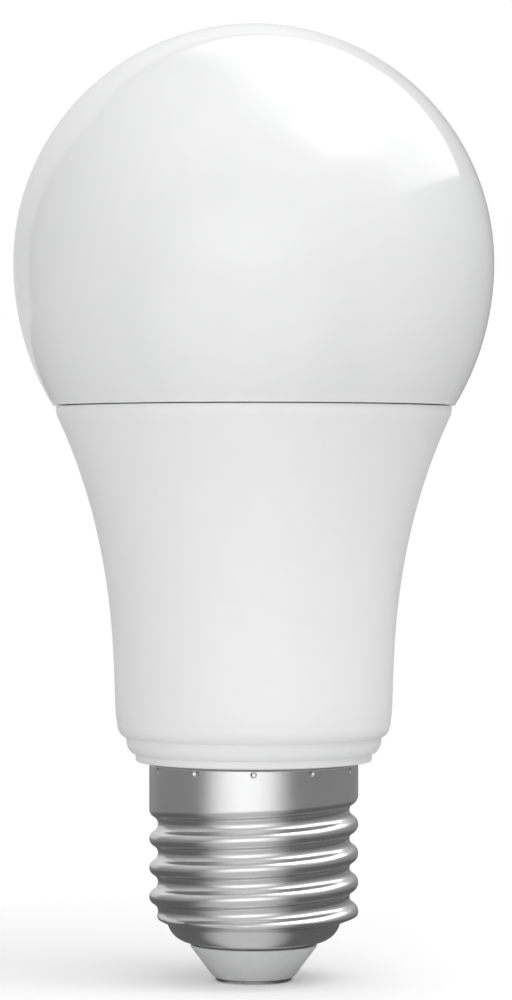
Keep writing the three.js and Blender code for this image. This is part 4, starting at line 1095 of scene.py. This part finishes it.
def dog_bone_resistor():
    """The fusible resistor: a coated dog-bone body with colour bands, on bent leads."""
    node = "fusible_resistor"
    half, radius, swell = 3.0, 1.05, 0.3
    reach = box_mm(node)[1].x - LEAD - 0.03
    steps = 60
    profile = [(0, -half)]
    for i in range(1, steps):
        along = -half + 2 * half * i / steps
        bulge = swell * math.exp(-(((half - 0.85 - abs(along)) / 0.55) ** 2))
        end = min(1, (half - abs(along)) / 0.5)
        profile.append(((radius + bulge) * math.sqrt(1 - (1 - end) ** 2), along))
    shape = Shape(*turned(profile + [(0, half)], 40), place=ALONG_X)
    for i, face in enumerate(shape.faces):
        x = sum(shape.vertices[v].x for v in face) / len(face)
        for look, bands in RESISTOR_BANDS.items():
            if any(start < x < end for start, end in bands):
                shape.finishes[i] = look
    routes = []
    for side in (-1, 1):
        route = [(side * (half - 0.2), 0, 0), (side * (reach - 0.6), 0, 0)]
        routes.append(route + [(side * reach, 0.6, 0), (side * reach, BOARD_FRONT - RESISTOR_Y, 0)])
    place = at(0, RESISTOR_Y, middle_of(node).z)
    looks = finishes("resistor_coat", "band_brown", "band_gold", "tin")
    piece("fuse_resistor", shape.join(leads(routes, 3)).moved(place), looks, "resistor_coat", node)


def back_chip(name, node, legs_per_side):
    """A moulded chip on the back of the board, with gull-wing legs and a pin-one dimple."""
    low, high = box_mm(node)
    reach = (high.x - low.x) / 2
    half_x, half_z = reach - 1, (high.z - low.z) / 2
    bottom = low.y + 0.15
    waist = (bottom + high.y) / 2
    levels = [(0.12, bottom), (0, waist), (0.16, high.y - 0.05), (0.22, high.y)]
    rings = [soft_loop(half_x - less, half_z - less, -y, 14) for less, y in levels]
    body = Shape(*loft(rings), place=UPRIGHT)
    dot = turned([(0, 0), (0.28, 0), (0.34, 1), (0, 1)], 24)
    body.cut(Shape(*dot, place=at(0.75 - half_x, high.y - 0.1, half_z - 0.75) @ FACING_BACK))
    foot = low.y + LEG_SHEET
    path = [(half_x - 0.25, waist), (half_x + 0.3, waist), (half_x + 0.5, foot), (reach, foot)]
    outline = [(x, y - LEG_SHEET) for x, y in path] + path[::-1]
    mirrored = [(-x, y) for x, y in reversed(outline)]
    pitch = 2 * half_z / legs_per_side
    legs = Shape()
    for i in range(legs_per_side):
        z = pitch * (i + 0.5) - half_z
        for leg in (outline, mirrored):
            legs.add(*prism(leg, z - pitch * 0.19, z + pitch * 0.19, 0.02), 1)
    middle = middle_of(node)
    looks = finishes("chip_black", "tin")
    piece(name, body.join(legs).moved(at(middle.x, 0, middle.z)), looks, "chip_black", node)


def led_pins():
    """Square pins with pointed tops, bent back to the board at their feet."""
    for number, node in enumerate(LED_PINS, 1):
        low, high = box_mm(node)
        width = high.x - low.x
        back = low.y + width
        outline = [(low.y, low.z), (high.y, low.z), (high.y, low.z + width), (back, low.z + width)]
        outline += [(back, high.z - 0.4), (low.y + width * 0.7, high.z)]
        outline += [(low.y + width * 0.3, high.z), (low.y, high.z - 0.4)]
        shape = Shape(*prism(outline, low.x, high.x, 0.05), place=SIDEWAYS)
        piece(f"square_pin_{number}", shape, finishes("tin"), "tinned_metal", node)


def radio_board():
    low, high = box_mm("radio_board")
    shape = plate(rectangle((low.x, high.x), (low.z, high.z), 0.9), low.y, high.y, 0.06)
    look = board_look("blue_mask", (0.005, 0.025, 0.1), (0.006, 0.03, 0.12), width=5)
    piece("blue_board", shape, [look], "blue_board", "radio_board")


def shield_can():
    """A drawn can with rounded edges and a shallow panel pressed into its lid."""
    low, high = box_mm("radio_shield_can")
    middle = middle_of("radio_shield_can")
    half_x, half_z = (high.x - low.x) / 2, (high.z - low.z) / 2
    levels = [(0.05, low.y), (0, low.y + 0.1), (0, high.y - 0.5), (0.14, high.y - 0.16), (0.45, high.y)]
    levels += [(1.3, high.y), (1.45, high.y - 0.08)]
    rings = [soft_loop(half_x - less, half_z - less, -y, 12) for less, y in levels]
    shape = Shape(*loft(rings), place=at(middle.x, 0, middle.z) @ UPRIGHT)
    piece("shield_can", shape, finishes("can_metal"), "tinned_metal", "radio_shield_can")


def supply_wires():
    """The insulated wires from the contact and the shell up to the driver board."""
    live_low, live_high = box_mm("live_wire")
    neutral_low, neutral_high = box_mm("neutral_wire")
    board_y = BOARD_LOW.y - WIRE - 0.1
    live = [(0, 0, live_low.z + 0.03), (0, 0, CONTACT_HIGH.z + 0.6), (2.2, 0, 10.6), (5.6, 0.1, 11.4)]
    live += [(6.9, 0.6, 13.2), (6.9, board_y, live_high.z - 0.1)]
    neutral = [(-6.9, board_y, neutral_high.z - 0.14), (-7.3, 0.5, 12.6), (-7.9, 0, 10.2)]
    neutral += [(-8.8, -0.3, 8.7), (neutral_low.x + 0.1, -0.5, 8.5)]
    for name, route, color in (("live", live, "wire_red"), ("neutral", neutral, "wire_white")):
        shape = Shape(*tube(curve_through(route, 10), WIRE, 16))
        piece(f"{name}_lead", shape, finishes(color), color, f"{name}_wire")


# ---------------------------------------------------------------- camera and studio

CAMERA_DISTANCE = 0.46625
CAMERA_SIDE = 0.00028
CAMERA_RISE = 0.0031  # over the bulb's mid-height
AIM_RISE = 0.000365
CAMERA_LENS = 134.3  # in millimetres, as is the sensor's width
CAMERA_SENSOR = 36
CARD_DISTANCE = 1
SMOOTH = "SMOOTHSTEP"

ROOM_LOW = 0.3  # brightness of the room below the horizon, to all but the camera
ROOM_HIGH = 0.8
ROOM_RISE = (0.1, 0.75)  # sines of the elevations over which the room brightens
TABLE_RADIUS = 0.6
TABLE_FADE = (TABLE_RADIUS * 0.4, TABLE_RADIUS * 0.9)  # where it fades into the background
TABLE_LIFT = 0.15
TABLE_SEEN = 0.92  # reflectance of the table to the camera
TABLE_BOUNCE = 0.8  # reflectance of the table to the bulb's matt surfaces
# In reflections the table shows a painted pool of light: painted bright in front of the bulb and painted
# dark beside it.
POOL_WAY = (-0.156, -0.988, 0)
POOL_SPREAD = 0.57
POOL_DARK = 0.3
POOL_BRIGHT = 1.45
POOL_NEAR = 0.5  # share of its brightness close to the bulb
POOL_REACH = (0.04, 0.16)


def add_camera():
    low, high = cad_box
    middle = (low.z + high.z) / 2
    data = bpy.data.cameras.new("camera")
    data.lens = CAMERA_LENS
    data.sensor_width = CAMERA_SENSOR
    camera = in_scene("camera", data)
    camera.location = (CAMERA_SIDE, -CAMERA_DISTANCE, middle + CAMERA_RISE)
    aim = Vector((CAMERA_SIDE, 0, middle + AIM_RISE))
    camera.rotation_euler = (aim - camera.location).to_track_quat("-Z", "Y").to_euler()
    bpy.context.scene.camera = camera


def softbox(name, corner, along, up, brightness, soft, fade=1.0, lights="both"):
    """A rectangular light from a corner and two edges, facing the bulb. Soft is the share of its
    size over which its left, right, bottom and top sides soften to nothing, and fade is its
    brightness at the bottom as a share of the brightness at the top. It lights both the bulb's
    colour and its shine, or only one of them."""
    corner, along, up = Vector(corner), Vector(along), Vector(up)
    data = bpy.data.lights.new(name, "AREA")
    data.shape = "RECTANGLE"
    data.size = along.length
    data.size_y = up.length
    data.energy = 4 * along.length * up.length * brightness
    data.use_nodes = True
    graph = Graph(data.node_tree)
    place = graph.node("NewGeometry", output="Parametric")
    across, height = (graph.node("SeparateXYZ", {0: place}, axis) for axis in "XY")
    left, right, bottom, top = soft
    strength = graph.spread(height, fade, 1, 0, 1, SMOOTH)
    for source, near, far in ((across, left, right), (height, bottom, top)):
        if near:
            strength = graph.math("MULTIPLY", strength, graph.spread(source, 0, 1, 0, near, SMOOTH))
        if far:
            strength = graph.math("MULTIPLY", strength, graph.spread(source, 1, 0, 1 - far, 1, SMOOTH))
    graph.into("Emission", Strength=strength)
    x = along.normalized()
    z = x.cross(up).normalized()
    facing = Matrix((x, z.cross(x), z)).transposed().to_4x4()
    light = in_scene(name, data)
    light.matrix_world = Matrix.Translation(corner + (along + up) / 2) @ facing
    light.visible_camera = False
    light.visible_diffuse = lights != "shine"
    light.visible_glossy = lights != "colour"


def toward(azimuth, elevation):
    """A direction from the bulb: azimuth 0 is towards the camera and 90 towards +X."""
    level = math.cos(math.radians(elevation))
    x, y = polar(level, math.radians(azimuth - 90))
    return Vector((x, y, math.sin(math.radians(elevation))))


def card(name, direction, size, brightness, soft, lights="both"):
    """A softbox of some width and height that faces the middle of the globe squarely, from an
    azimuth and an elevation."""
    azimuth, elevation = direction
    middle = Vector((0, 0, GLOBE_CENTRE_Z * MM)) + CARD_DISTANCE * toward(azimuth, elevation)
    along = size[0] * toward(azimuth + 90, 0)
    up = size[1] * toward(azimuth, elevation + 90)
    softbox(name, middle - (along + up) / 2, along, up, brightness, soft, lights=lights)


def add_lights():
    """The key is a large softbox over the bulb's right shoulder, seen only in its shine. The
    cards stand for the rest of the studio."""
    corner, along, up = (-0.13, -0.52, 0.75), (0.865, 0.164, -0.26), (0.015, 0.966, -0.13)
    key_soft = (0.22, 0.04, 0.42, 0)
    softbox("key", corner, along, up, brightness=1.6, soft=key_soft, fade=0.75, lights="shine")
    card("front_high", (10, 48), size=(1.3, 1.1), brightness=0.8, soft=[0.5] * 4, lights="colour")
    card("right_high", (65, 56), size=(0.8, 0.6), brightness=3.0, soft=[0.4] * 4)
    card("front_low", (-8, 5), size=(2.2, 1.1), brightness=1.4, soft=[0.5] * 4)
    card("back", (196, 18), size=(1.2, 0.9), brightness=0.33, soft=(0.3, 0, 0, 0))


def add_world():
    """White to the camera. To everything else it is a grey room, darker below the horizon."""
    world = bpy.data.worlds.new("studio")
    bpy.context.scene.world = world
    world.use_nodes = True
    graph = Graph(world.node_tree)
    direction = graph.node("TexCoord", output="Generated")
    room = graph.spread(graph.node("SeparateXYZ", {0: direction}, "Z"), ROOM_LOW, ROOM_HIGH, *ROOM_RISE)
    strength = graph.math("MAXIMUM", room, graph.node("LightPath", output="Is Camera Ray"))
    graph.into("Background", Color=(1, 1, 1), Strength=strength)


def table_look():
    """Paper that fades into the white background at its edge, to the camera. Shine mirrors a painted
    pool of light on it instead, a glow that no lamp casts, and matt surfaces see plain paper."""
    material = bpy.data.materials.new("table_white")
    material.use_nodes = True
    graph = Graph(material.node_tree)
    graph.tree.nodes.remove(graph.tree.nodes["Principled BSDF"])
    paper = graph.node("BsdfDiffuse", {"Color": [TABLE_SEEN] * 3})
    bounce = graph.node("BsdfDiffuse", {"Color": [TABLE_BOUNCE] * 3})
    lit = graph.node("AddShader", {0: paper, 1: graph.node("Emission", {"Strength": TABLE_LIFT})})
    place = graph.node("TexCoord", output="Object")
    away = graph.node("VectorMath", {0: place}, "Value", operation="LENGTH")
    edge = graph.spread(away, 0, 1, *TABLE_FADE, SMOOTH)
    seen = graph.node("MixShader", {0: edge, 1: lit, 2: graph.node("Emission", {"Strength": 1})})
    way = graph.node("VectorMath", {0: place}, operation="NORMALIZE")
    ahead = graph.node("VectorMath", {0: way, 1: POOL_WAY}, "Value", operation="DOT_PRODUCT")
    # The painted pool of light for shine only: an emission painted brighter ahead of the bulb and darker
    # beside it.
    bell = graph.spread(ahead, POOL_DARK, POOL_BRIGHT, POOL_SPREAD, 1, SMOOTH)
    near = graph.spread(away, POOL_NEAR, 1, *POOL_REACH, SMOOTH)
    painted_pool = graph.node("Emission", {"Strength": graph.math("MULTIPLY", bell, near)})
    glossy, camera = (graph.node("LightPath", output=f"Is {ray} Ray") for ray in ("Glossy", "Camera"))
    mirrored = graph.node("MixShader", {0: glossy, 1: bounce, 2: painted_pool})
    graph.into("Material Output", Surface=graph.node("MixShader", {0: camera, 1: mirrored, 2: seen}))
    return material


def add_floor():
    """A round white table."""
    sides = 96
    mesh = bpy.data.meshes.new("table")
    rim = [(*polar(TABLE_RADIUS, TAU * k / sides), 0) for k in range(sides)]
    mesh.from_pydata(rim, [], [list(range(sides))])
    mesh.materials.append(table_look())
    floor = in_scene("table", mesh)


add_camera()
add_lights()
add_world()
add_floor()
bpy.context.scene.view_settings.view_transform = "Standard"

diffuser_globe()
outer_housing()
screw_shell()
insulator_cone()
centre_contact()

silicone_bead()
heat_sink_cup()
led_board()
leds()
board_screws()
insulating_sleeve()
driver_board()
electrolytic("bulk_can", "bulk_capacitor", length=13.5)
electrolytic("output_can", "output_capacitor", length=11)
ferrite_core("ferrite_upper", "transformer_core_upper", side=1)
ferrite_core("ferrite_lower", "transformer_core_lower", side=-1)
transformer_winding()
choke()
film_capacitor()
varistor_disc()
dog_bone_resistor()
back_chip("rectifier_chip", "bridge_rectifier", legs_per_side=2)
back_chip("switch_chip", "power_switch_chip", legs_per_side=4)
back_chip("dimming_chip", "dimmer_chip", legs_per_side=4)
back_chip("diode_chip", "output_diode", legs_per_side=1)
led_pins()
radio_board()
shield_can()
supply_wires()
dressed("transformer_bobbin", "black_nylon")
dressed("led_pin_block", "black_nylon")
dressed("radio_pin_header", "black_nylon", bevel=0.05)
dressed("radio_antenna", "copper", bevel=0.02)
